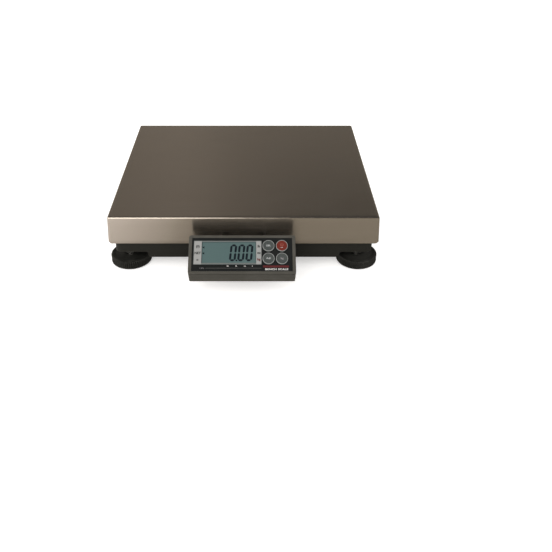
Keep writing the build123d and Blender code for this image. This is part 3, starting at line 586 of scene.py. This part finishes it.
def footWheel(corner):
    # A knurled hand wheel: its closed profile runs over the rim, across the top to the stud, and back through
    # the pad recess. Round the rim the radius is cut by the rib depth times a raised cosine, one wave a rib.
    wheel = {
        "ribs": 60, "stepsPerRib": 8, "ribDepth": 1.5 * mm, "ribPower": 1.3, "waist": 0.4 * mm,
        "recess": 20.0 * mm, "seat": 3.0 * mm, "recessEase": 0.3 * mm,
        "hub": 5.05 * mm, "hubEase": 0.4 * mm, "hubRing": (11.0 * mm, 10.4 * mm), "dishDepth": 0.5 * mm,
        # in from the rim and up from the foot in mm, share of the rib depth
        "lowerRim": ((2.2, 0, 0), (1.0, 0.15, 0.5), (0.35, 0.6, 0.85), (0, 1.3, 1)),
        # shares of the waist's depth and of the height
        "waistLine": ((0, 0.25), (0.6, 0.36), (1, 0.48), (0.6, 0.6), (0, 0.72)),
        # in from the rim and down from the top in mm, share of the rib depth
        "upperRim": ((0, 1.5, 1), (0.35, 0.75, 0.9), (1.1, 0.2, 0.45), (2.0, 0, 0), (4.5, 0, 0),
                     (5.2, 0.5, 0), (5.9, 0.5, 0)),
    }
    low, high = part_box("foot_wheel_" + corner)
    centre = (np.array(low) + np.array(high)) / 2
    radius = (high.x - low.x) / 2
    foot, top = low.z, high.z
    recess, seat, ease = wheel["recess"], wheel["seat"], wheel["recessEase"]
    hub, hubEase, ring = wheel["hub"], wheel["hubEase"], wheel["hubRing"]
    lower, upper, waist = (np.array(wheel[line]).T for line in ("lowerRim", "upperRim", "waistLine"))
    waistRadius = radius - waist[0] * wheel["waist"]
    waistHeight = foot + waist[1] * (top - foot)
    # radius, height, share of the rib depth
    profile = np.concatenate([
        [(recess, seat, 0), (recess, foot + ease, 0), (recess + ease, foot, 0)],
        np.column_stack([radius - lower[0] * mm, foot + lower[1] * mm, lower[2]]),
        np.column_stack([waistRadius, waistHeight, np.ones(len(waistRadius))]),
        np.column_stack([radius - upper[0] * mm, top - upper[1] * mm, upper[2]]),
        [(ring[0], top - wheel["dishDepth"], 0), (ring[1], top, 0), (hub + hubEase, top, 0)],
        [(hub, top - hubEase, 0), (hub, seat, 0), (recess, seat, 0)]])
    angle = np.linspace(0, 2 * math.pi, wheel["ribs"] * wheel["stepsPerRib"] + 1)
    valley = (0.5 - 0.5 * np.cos(wheel["ribs"] * angle)) ** wheel["ribPower"]
    reach = profile[:, 0:1] - wheel["ribDepth"] * profile[:, 2:3] * valley
    grid = np.empty((len(profile), len(angle), 3))
    grid[..., 0] = centre[0] + reach * np.cos(angle)
    grid[..., 1] = centre[1] + reach * np.sin(angle)
    grid[..., 2] = profile[:, 1:2]
    piece = surface("footWheel_" + corner, grid, sharpAngle=50)
    attach(piece, "foot_wheel_" + corner, wheelPlastic, ["foot_wheel_" + corner])


for corner in corners:
    footWheel(corner)
    paintNode("foot_stud_" + corner, zincSteel)
    paintNode("foot_pad_" + corner, blackRubber)
print("feet made")


# display head

head = {
    "halfWidth": 67.9 * mm, "halfLength": 25.8 * mm, "corner": 2.8 * mm, "wall": 2.2 * mm,
    "rimSide": 4.2 * mm, "rimTop": 3.6 * mm, "rimFoot": 3.2 * mm, "rimEase": 0.8 * mm, "footEase": 1.6 * mm,
    "ledge": 2.0 * mm, "ledgeDeep": 1.4 * mm, "shelf": 2.6 * mm,
    "lip": ((0.0, 0.45), (0.15, 0.12), (0.5, 0.0)),  # out from the overlay and depth, in mm
    "groove": ((1.1, 0.0), (1.2, 1.2), (2.5, 1.2), (2.6, 0.0)),  # depth and inset, in mm
    "fasciaOut": 6.0 * mm, "fasciaDeep": 14.9 * mm, "topDeep": 8.0 * mm, "fasciaShares": (0.35, 0.6, 0.85),
    "overlayMiddle": (0.0, -0.2 * mm, -1.0 * mm),
}
faceNormal = -Vector(joints["key_zero_press"]["axis"]).normalized()
faceUp = faceNormal.cross(Vector((1, 0, 0)))
overlayLow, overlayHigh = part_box("face_overlay")
turn = Matrix((Vector((1, 0, 0)), faceUp, faceNormal)).transposed()
faceOrigin = (overlayLow + overlayHigh) / 2 - turn @ Vector(head["overlayMiddle"])
facePlace = Matrix.Translation(faceOrigin) @ turn.to_4x4()
capitalShare = 0.7  # capital height over type size


def headShell():
    # The front shell as a ring: its closed profile runs from the ledge under the overlay, over the rim, down
    # the outside to the seam and back up inside, and is carried round the face's outline. Towards the foot of
    # the face the side leans out and reaches deeper, which makes the fascia.
    plan, normal = roundedPath(head["halfWidth"], head["halfLength"], head["corner"], 12, 3)[:2]
    downward = np.clip(-normal[:, 1], 0, 1)
    upShare = np.clip((plan[:, 1] + head["halfLength"]) / (2 * head["halfLength"]), 0, 1)
    deep = head["fasciaDeep"] + (head["topDeep"] - head["fasciaDeep"]) * upShare
    topOrFoot = np.where(normal[:, 1] > 0, head["rimTop"], head["rimFoot"])
    rimWidth = np.where(np.abs(normal[:, 0]) > 0.7, head["rimSide"], topOrFoot)
    rows = []

    def addRow(inset, depth, lean=0.0):
        # inset from the outline, depth below the rim, lean: share of the fascia's slope
        row = np.empty((len(plan), 3))
        row[:, :2] = plan - normal * np.broadcast_to(inset, len(plan))[:, None]
        row[:, 1] -= downward * head["fasciaOut"] * lean
        row[:, 2] = -depth
        rows.append(row)

    addRow(rimWidth + head["ledge"], head["shelf"])
    addRow(rimWidth + head["ledge"], head["ledgeDeep"])
    addRow(rimWidth, head["ledgeDeep"])
    for out, depth in head["lip"]:
        addRow(rimWidth - out * mm, depth * mm)
    for angle in np.radians(np.linspace(90, 0, 6)):
        addRow(head["rimEase"] * (1 - math.cos(angle)), head["rimEase"] * (1 - math.sin(angle)))
    # a fine parting groove runs round just below the rim
    for depth, inset in head["groove"]:
        addRow(inset * mm, depth * mm, depth * mm / head["fasciaDeep"])
    for share in head["fasciaShares"]:
        addRow(0.0, deep * share, share)
    for angle in np.radians(np.linspace(0, 80, 6)):
        rest = 1 - math.sin(angle)
        addRow(head["footEase"] * (1 - math.cos(angle)), deep - head["footEase"] * rest, 1 - 0.06 * rest)
    addRow(head["wall"], deep, 1)
    addRow(head["wall"], deep * 0.5, 0.5)
    addRow(head["wall"], head["shelf"], 0.2)
    addRow(rimWidth + head["ledge"], head["shelf"])
    piece = surface("headShell", placed(np.stack(rows), facePlace), sharpAngle=40)
    attach(piece, "display_head", headPlastic, ["head_front_shell"])


def keyButton(node, height, faceMaterial):
    # A round key: raised ring round a shallow dish, turned about the key's axis. The dish is a parabola.
    key = {
        "radius": 7.5 * mm, "ring": 0.62 * mm, "dish": 0.35 * mm, "dishRim": 0.1 * mm, "gap": 0.02 * mm,
        "outerEase": 0.3 * mm, "innerEase": 0.15 * mm, "under": -2.6 * mm,
    }
    low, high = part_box(node)
    centre = ((facePlace.inverted() @ ((low + high) / 2)).x, height)
    outer, inner, under = key["radius"], key["radius"] - key["ring"], key["under"]
    outerEase, innerEase = key["outerEase"], key["innerEase"]
    ringProfile = np.concatenate([
        [(outer, under), (outer, 0.0)], arcProfile((outer - outerEase, 0.0), outerEase, 0, 90, 4),
        arcProfile((inner + innerEase, innerEase), innerEase, 90, 180, 4), [(inner, under), (outer, under)]])
    ring = lathe(node + "_ring", ringProfile, centre, facePlace)
    attach(ring, node, keyRingGrey)
    capRadius = inner - key["gap"]
    radii = np.linspace(capRadius, 0, 9)
    dish = key["dishRim"] - key["dish"] * (1 - (radii / inner) ** 2)
    capProfile = np.concatenate([[(0, under), (capRadius, under)], np.stack([radii, dish], axis=-1)])
    cap = lathe(node + "_cap", capProfile, centre, facePlace)
    attach(cap, node, faceMaterial, [node])
    return centre


def flatShape(name, outline, thickness, lift, material, body="display_head"):
    # A thin plate: the outline twice, at lift and at lift + thickness, with a face on each and quads between.
    flat = np.array(outline, dtype=float)
    count = len(flat)
    low = np.column_stack([flat, np.full(count, lift)])
    points = placed(np.concatenate([low, low + (0, 0, thickness)]), facePlace)
    here = np.arange(count)
    onward = np.roll(here, -1)
    walls = np.column_stack([here, onward, onward + count, here + count])
    mesh = bpy.data.meshes.new(name)
    faces = [here[::-1].tolist(), (here + count).tolist()] + walls.tolist()
    mesh.from_pydata(points.tolist(), [], faces)
    return attach(tidyMesh(name, mesh), body, material)


def rectangle(x, y):
    # Corners of a rectangle between two x and two y, given in mm.
    return np.array([(x[0], y[0]), (x[1], y[0]), (x[1], y[1]), (x[0], y[1])]) * mm


def joined(name, pieces):
    # Several thin plates of one finish as one piece.
    first = pieces[0]
    work = bmesh.new()
    for piece in pieces:
        work.from_mesh(piece.data)
    work.to_mesh(first.data)
    work.free()
    for piece in pieces[1:]:
        bpy.data.objects.remove(piece)
    first.name = name
    first.data.name = name
    return first


def faceText(name, words, place, height, lift, material, body="display_head",
             bold=0.0, wide=1.0, spacing=1.0):
    # Raised lettering. Place, capital height and bold (how far the strokes swell) are in mm. The text is
    # turned into a mesh before it is placed.
    curve = bpy.data.curves.new(name, "FONT")
    curve.body = words
    curve.align_x = "CENTER"
    curve.align_y = "CENTER"
    curve.size = height * mm / capitalShare
    curve.extrude = 0.02 * mm
    curve.offset = bold * mm
    curve.space_character = spacing
    curve.resolution_u = 3
    source = bpy.data.objects.new(name + "_line", curve)
    bpy.context.scene.collection.objects.link(source)
    bpy.context.view_layer.update()
    mesh = bpy.data.meshes.new_from_object(source.evaluated_get(bpy.context.evaluated_depsgraph_get()))
    bpy.data.objects.remove(source)
    mesh.transform(Matrix.Diagonal((wide, 1, 1, 1)))
    mesh.transform(facePlace @ Matrix.Translation((place[0] * mm, place[1] * mm, lift)))
    mesh.materials.clear()
    return attach(tidyMesh(name, mesh, mergeDistance=1e-7), body, material)


def zeroDigit(x, y, width, height, stroke, slant):
    # Outlines of the six lit bars of a seven-bar nought. Each bar is a six-sided strip with mitred ends.
    gap = 0.2 * mm
    half = stroke / 2
    left, right = -width / 2 + half, width / 2 - half
    top, middle, low = height / 2 - half, 0.0, -height / 2 + half
    bars = [
        ((left, top), (right, top)), ((left, low), (right, low)),
        ((left, middle), (left, top)), ((right, middle), (right, top)),
        ((left, low), (left, middle)), ((right, low), (right, middle)),
    ]
    outlines = []
    for start, end in np.array(bars):
        along = (end - start) / np.linalg.norm(end - start)
        across = np.array((-along[1], along[0])) * half
        start, end = start + along * gap, end - along * gap
        inStart, inEnd = start + along * half, end - along * half
        points = np.array([start, inStart + across, inEnd + across, end, inEnd - across, inStart - across])
        points[:, 0] += points[:, 1] * slant
        outlines.append(points + np.array((x, y)))
    return outlines


def displayDigits():
    # Places in mm from the middle of the face.
    panel = {
        "digitX": (-11.4, -1.0, 9.3), "digitY": 2.3 * mm, "width": 8.6 * mm, "height": 22.8 * mm,
        "stroke": 2.75 * mm, "slant": 0.095, "surface": -1.4 * mm, "thickness": 0.02 * mm,
        "pointX": -7.1 * mm, "pointUp": 1.1 * mm, "pointRadius": 1.15 * mm,
        "pointerRows": (9.6, 1.6), "pointerX": (-50.6, -48.0), "pointerHalf": 1.7,
        "glassX": (-51.2, 17.6), "glassY": (-11.6, 17.2), "shadeLine": 0.7, "shadeThin": 0.42,
    }

    def plate(name, outline, ink=lcdInk):
        return flatShape(name, outline, panel["thickness"], panel["surface"], ink)

    plates = []
    for number, x in enumerate(panel["digitX"]):
        bars = zeroDigit(
            x * mm, panel["digitY"], panel["width"], panel["height"], panel["stroke"], panel["slant"])
        plates += [plate(f"digit{number}_{bar}", outline) for bar, outline in enumerate(bars)]
    angle = np.linspace(0, 2 * math.pi, 15)[:-1]
    pointY = panel["digitY"] - panel["height"] / 2 + panel["pointUp"]
    disc = np.stack([np.cos(angle), np.sin(angle)], axis=-1) * panel["pointRadius"]
    plates.append(plate("decimalPoint", disc + (panel["pointX"], pointY)))
    tip, base = panel["pointerX"]
    for row in panel["pointerRows"]:
        arrow = [(tip, row), (base, row + panel["pointerHalf"]), (base, row - panel["pointerHalf"])]
        plates.append(plate(f"pointer{row}", np.array(arrow) * mm))
    joined("lcdDigits", plates)
    # Dark strips along the edges of the glass are painted shade of its recess, wider at the top and left.
    x, y, line, thin = panel["glassX"], panel["glassY"], panel["shadeLine"], panel["shadeThin"]
    edges = {
        "top": (x, (y[1] - line, y[1])), "foot": (x, (y[0], y[0] + thin)),
        "left": ((x[0], x[0] + line), y), "right": ((x[1] - thin, x[1]), y),
    }
    shades = [plate("lcdShade_" + side, rectangle(*reach), lcdShade) for side, reach in edges.items()]
    joined("lcdShade", shades)


def facePrint():
    # Widths and heights in mm from the middle of the face.
    face = {
        "film": 0.02 * mm, "onFilm": -0.6 * mm, "onFrame": -1.2 * mm,
        "bar": ((26.4, 59.2), (-17.6, -15.0)), "rule": ((-46.0, 24.6), (-18.8, -18.4)),
        "strips": {"Left": (-61.0, -51.5), "Right": (17.9, 24.3)}, "stripRise": (-13.2, 18.2),
        "title": (43.5, -20.1), "titleHeight": 2.2, "division": (-50.5, -18.6), "divisionHeight": 1.6,
        "units": {"kg": -17.8, "lb": -7.2, "oz": 3.4, "g": 13.0}, "unitRow": -15.7, "unitHeight": 1.9,
        "leftMarks": {"centre": ("(0)", 10.8), "net": ("NET", 1.8), "steady": ("o", -7.0)},
        "rightMarks": {"lb": (11.0, inkDark), "oz": (2.2, inkDark), "kg": (-6.6, inkRed)},
        "leftX": -56.3, "leftHeight": 3.0, "rightX": 21.2, "rightHeight": 3.2, "markBold": 0.18,
    }
    film, onFilm, onFrame = face["film"], face["onFilm"], face["onFrame"]
    onStrip = onFrame + film
    flatShape("accentBar", rectangle(*face["bar"]), film, onFilm, inkRed)
    flatShape("thinRule", rectangle(*face["rule"]), film, onFilm, inkGrey)
    faceText("boldText", "BENCH SCALE", face["title"], face["titleHeight"], onFilm, inkWhite,
             bold=0.1, wide=1.32, spacing=1.12)
    faceText("smallText", "d 20 g", face["division"], face["divisionHeight"], onFilm, inkPale)
    for word, x in face["units"].items():
        place = (x, face["unitRow"])
        faceText("unitLabel_" + word, word, place, face["unitHeight"], onFilm, inkWhite, bold=0.05)
    for side, x in face["strips"].items():
        outline = rectangle(x, face["stripRise"])
        flatShape("labelStrip" + side, outline, film, onFrame, stripWhite)
    for name, (word, y) in face["leftMarks"].items():
        faceText("leftMark_" + name, word, (face["leftX"], y), face["leftHeight"], onStrip, inkDark,
                 bold=face["markBold"])
    for word, (y, ink) in face["rightMarks"].items():
        faceText("rightMark_" + word, word, (face["rightX"], y), face["rightHeight"], onStrip, ink,
                 bold=face["markBold"])


def powerSymbol(x, y, lift, body):
    # A ring open at the top with an upright bar in the gap.
    symbol = {
        "radius": 2.1 * mm, "innerShare": 0.70, "gapEnds": (125, 415), "thickness": 0.03 * mm,
        "bar": ((-0.16, 0.1), (0.16, 0.1), (0.16, 1.15), (-0.16, 1.15)),  # in radii
    }
    angle = np.radians(np.linspace(*symbol["gapEnds"], 22))
    outer = np.stack([np.cos(angle), np.sin(angle)], axis=-1) * symbol["radius"]
    ring = np.concatenate([outer, outer[::-1] * symbol["innerShare"]]) + (x, y)
    bar = np.array(symbol["bar"]) * symbol["radius"] + (x, y)
    shapes = {"powerRing": ring, "powerBar": bar}
    joined("powerSymbol", [flatShape(name, outline, symbol["thickness"], lift, inkRose, body)
                           for name, outline in shapes.items()])


def keyFaces():
    # The keys with their lettering, which lies in the dish and rides on the key.
    dishFloor = -0.21 * mm
    symbolUp = 1.5 * mm
    upper, lower = 11.5 * mm, -5.7 * mm  # the two rows of keys, up from the middle of the face
    keys = {
        # node: row, words, shift up from the key's middle, capital height, width, ink
        "key_zero": (upper, "ZERO", 0.1, 2.3, 1.75, inkBright),
        "key_tare": (lower, "TARE", 0.1, 2.3, 1.75, inkBright),
        "key_units": (lower, "kg", 0.2, 2.6, 1.1, inkPale),
        "key_power": (upper, "ON", -3.1, 1.8, 1.7, inkWhite),
    }
    for node, (row, words, up, height, wide, ink) in keys.items():
        red = node == "key_power"
        x, y = keyButton(node, row, keyRed if red else keyGrey)
        place = (x / mm, y / mm + up)
        faceText(node + "_word", words, place, height, dishFloor, ink, node, bold=0.1, wide=wide)
        if red:
            powerSymbol(x, y + symbolUp, dishFloor, node)


headShell()
keyFaces()
displayDigits()
facePrint()
softened("head_rear_cover", 0.5 * mm, headPlastic)
print("display head made")


# base, arm and the works under the platter

for node, bevel in (("base_frame", 0.7), ("top_frame", 0.8), ("display_arm", 0.35)):
    softened(node, bevel * mm, frameBlack)
softened("load_cell", 0.4 * mm, cellAluminium)
for material, nodes in (
    (overlayFilm, ["face_overlay"]),
    (labelWhite, ["lcd_bezel"]),
    (lcdFace, ["lcd_glass"]),
    (circuitBoard, ["display_board", "converter_board"]),
    (componentBlack, ["lcd_backlight", "key_switches", "board_parts", "power_inlet", "data_socket",
                      "tilt_washers"]),
    (cellAluminium, ["load_cell_top_spacer", "load_cell_fixed_spacer"]),
    (blackRubber, ["platter_bumpers"]),
    (cableJacket, ["cell_cable"]),
    (brassPart, ["foot_inserts", "board_standoffs"]),
    (vialRim, ["level_vial_body"]),
    (vialLiquid, ["level_vial_glass"]),
    (zincSteel, ["head_screws", "load_cell_top_bolts", "load_cell_fixed_bolts", "foot_lock_nuts",
                 "board_screws", "overload_stop_screws", "overload_stop_nuts", "arm_screws", "arm_nuts",
                 "tilt_bolts"]),
):
    for node in nodes:
        paintNode(node, material)
print("base made")


# floor, light and camera

def paleFloor():
    # White paper. It glows a little to the camera, so that shadows stay faint. In reflections its colour is
    # painted light and shade: a brown-grey painted reflection, with painted light to the left and painted
    # shade where the display head stands over it.
    paper = {
        "reach": 6.0, "tone": rgb(0.88, 0.88, 0.88), "toneLight": rgb(0.90, 0.90, 0.895), "mottle": 2.0,
        "glow": 0.5, "glowTone": rgb(1.0, 0.985, 0.97),
        "paintedReflectionDark": rgb(0.282, 0.258, 0.218), "paintedReflectionLight": rgb(0.74, 0.70, 0.675),
        "paintedLightLeftward": (-0.055, -0.26), "shade": 0.85,
        "shadeAcross": (0.078, 0.066), "shadeFront": (-0.40, -0.33), "shadeRear": (-0.08, -0.12),
    }
    side = paper["reach"]
    square = [(-side, -side, 0), (side, -side, 0), (side, side, 0), (-side, side, 0)]
    mesh = bpy.data.meshes.new("floor")
    mesh.from_pydata(square, [], [(0, 1, 2, 3)])
    floor = bpy.data.objects.new("floor", mesh)
    bpy.context.scene.collection.objects.link(floor)
    material, tree, shader, place = startMaterial(
        "paleFloor", Roughness=1.0, Specular_IOR_Level=0.0, Emission_Color=paper["glowTone"])
    path = addNode(tree, "ShaderNodeLightPath")
    seen = blendColors(tree, noiseNode(tree, place, paper["mottle"]), paper["tone"], paper["toneLight"])
    spot = addNode(tree, "ShaderNodeSeparateXYZ", {0: place})
    # Painted light: the reflected paper turns lighter towards the left.
    paintedLightLeftward = ramp(tree, spot.outputs["X"], *paper["paintedLightLeftward"])
    paintedReflection = blendColors(tree, paintedLightLeftward, paper["paintedReflectionDark"], paper["paintedReflectionLight"])
    # Painted shade: the reflected paper turns dark under the display head.
    across = ramp(tree, mathNode(tree, "ABSOLUTE", spot.outputs["X"]), *paper["shadeAcross"])
    depth = mathNode(tree, "MULTIPLY", ramp(tree, spot.outputs["Y"], *paper["shadeFront"]),
                     ramp(tree, spot.outputs["Y"], *paper["shadeRear"]))
    under = mathNode(tree, "MULTIPLY", mathNode(tree, "MULTIPLY", across, depth), paper["shade"])
    reflectionWithPaintedShade = blendColors(tree, under, paintedReflection, rgb(0.0, 0.0, 0.0))
    color = blendColors(tree, path.outputs["Is Glossy Ray"], seen, reflectionWithPaintedShade)
    tree.links.new(color, shader.inputs["Base Color"])
    glow = mathNode(tree, "MULTIPLY", path.outputs["Is Camera Ray"], paper["glow"])
    tree.links.new(glow, shader.inputs["Emission Strength"])
    mesh.materials.append(material)


def studio():
    # The room: white paper to the camera, an even soft glow on matt surfaces, and in reflections a dim brown
    # room, darker overhead to the right, with a soft lighter band left of the middle and one broad window of
    # light low on the left in front. Pairs are the direction's share where a ramp starts and ends.
    room = {
        "paperTone": rgb(1.0, 1.0, 1.0), "paperStrength": 1.0,
        "glowTone": rgb(1.0, 0.99, 0.975), "glowStrength": 1.15,
        "lowTone": rgb(0.26, 0.230, 0.195), "overheadTone": rgb(0.09, 0.086, 0.08),
        "highLeft": rgb(0.130, 0.111, 0.095), "highRight": rgb(0.004, 0.003, 0.002),
        "sideways": (-0.16, 0.14), "highFrom": (0.28, 0.64), "overheadFrom": (0.72, 0.95),
        "bandTone": rgb(0.036, 0.032, 0.028), "bandMiddle": -0.10, "bandWidth": 0.09,
        "windowTone": rgb(1.0, 0.95, 0.88), "windowStrength": 4.2, "windowAcross": (0.01, -0.14),
        "windowFoot": (-0.05, 0.22), "windowHead": (0.80, 0.55), "windowAhead": (0.0, -0.35),
    }
    world = bpy.data.worlds.new("studio")
    bpy.context.scene.world = world
    world.use_nodes = True
    tree = world.node_tree
    direction = addNode(tree, "ShaderNodeTexCoord").outputs["Object"]
    x, y, z = addNode(tree, "ShaderNodeSeparateXYZ", {0: direction}).outputs
    high = blendColors(tree, ramp(tree, x, *room["sideways"]), room["highLeft"], room["highRight"])
    around = blendColors(tree, ramp(tree, z, *room["highFrom"]), room["lowTone"], high)
    dim = blendColors(tree, ramp(tree, z, *room["overheadFrom"]), around, room["overheadTone"])
    offBand = mathNode(tree, "ABSOLUTE", mathNode(tree, "SUBTRACT", x, room["bandMiddle"]))
    banded = blendColors(tree, ramp(tree, offBand, room["bandWidth"], 0.0), dim, room["bandTone"], "ADD")
    window = ramp(tree, x, *room["windowAcross"])
    for axis, edge in ((z, "windowFoot"), (z, "windowHead"), (y, "windowAhead")):
        window = mathNode(tree, "MULTIPLY", window, ramp(tree, axis, *room[edge]))
    sky = tree.nodes["Background"]
    tree.links.new(banded, sky.inputs["Color"])
    bright, glow, paper = [
        addNode(tree, "ShaderNodeBackground", {"Color": room[tone], "Strength": room[strength]})
        for tone, strength in (
            ("windowTone", "windowStrength"), ("glowTone", "glowStrength"), ("paperTone", "paperStrength"))]
    path = addNode(tree, "ShaderNodeLightPath")
    reflected = addNode(tree, "ShaderNodeMixShader", {0: window, 1: sky.outputs[0], 2: bright.outputs[0]})
    matt = addNode(tree, "ShaderNodeMixShader", {
        0: path.outputs["Is Glossy Ray"], 1: glow.outputs[0], 2: reflected.outputs[0]})
    chosen = addNode(tree, "ShaderNodeMixShader", {
        0: path.outputs["Is Camera Ray"], 1: matt.outputs[0], 2: paper.outputs[0]})
    tree.links.new(chosen.outputs[0], tree.nodes["World Output"].inputs["Surface"])


def leftSoftbox():
    # A large soft lamp on the left in front, which shapes the shadows and isn't mirrored.
    lamp = {
        "place": (-0.62, -1.25, 0.95), "aim": (0, -0.1, 0.05), "size": (0.75, 0.8), "power": 7,
        "tone": (1.0, 0.985, 0.96),
    }
    light = bpy.data.lights.new("keyLeft", "AREA")
    light.shape = "RECTANGLE"
    light.size, light.size_y = lamp["size"]
    light.energy = lamp["power"]
    light.color = lamp["tone"]
    softbox = bpy.data.objects.new("keyLeft", light)
    bpy.context.scene.collection.objects.link(softbox)
    toward = Vector(lamp["aim"]) - Vector(lamp["place"])
    softbox.location = lamp["place"]
    softbox.rotation_euler = toward.to_track_quat("-Z", "Y").to_euler()
    softbox.visible_glossy = False


def frontCamera():
    # Measured from the platter: right of its middle, back from its front edge, above its top.
    lens = {
        "focal": 44.87, "sensor": 36.0, "pitch": 29.65, "shift": (0.0380, -0.1290),
        "right": 15.2 * mm, "back": 769.8 * mm, "above": 457.1 * mm, "flare": 1.8 * mm,
    }
    low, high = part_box("platter")
    data = bpy.data.cameras.new("camera")
    data.lens = lens["focal"]
    data.sensor_width = lens["sensor"]
    data.shift_x, data.shift_y = lens["shift"]
    camera = bpy.data.objects.new("camera", data)
    bpy.context.scene.collection.objects.link(camera)
    across = (low.x + high.x) / 2 + lens["right"]
    camera.location = (across, low.y + lens["flare"] - lens["back"], high.z + lens["above"])
    camera.rotation_euler = (math.radians(90 - lens["pitch"]), 0, 0)
    bpy.context.scene.camera = camera


paleFloor()
studio()
leftSoftbox()
frontCamera()
bpy.context.scene.view_settings.view_transform = "Standard"
print("scene ready")
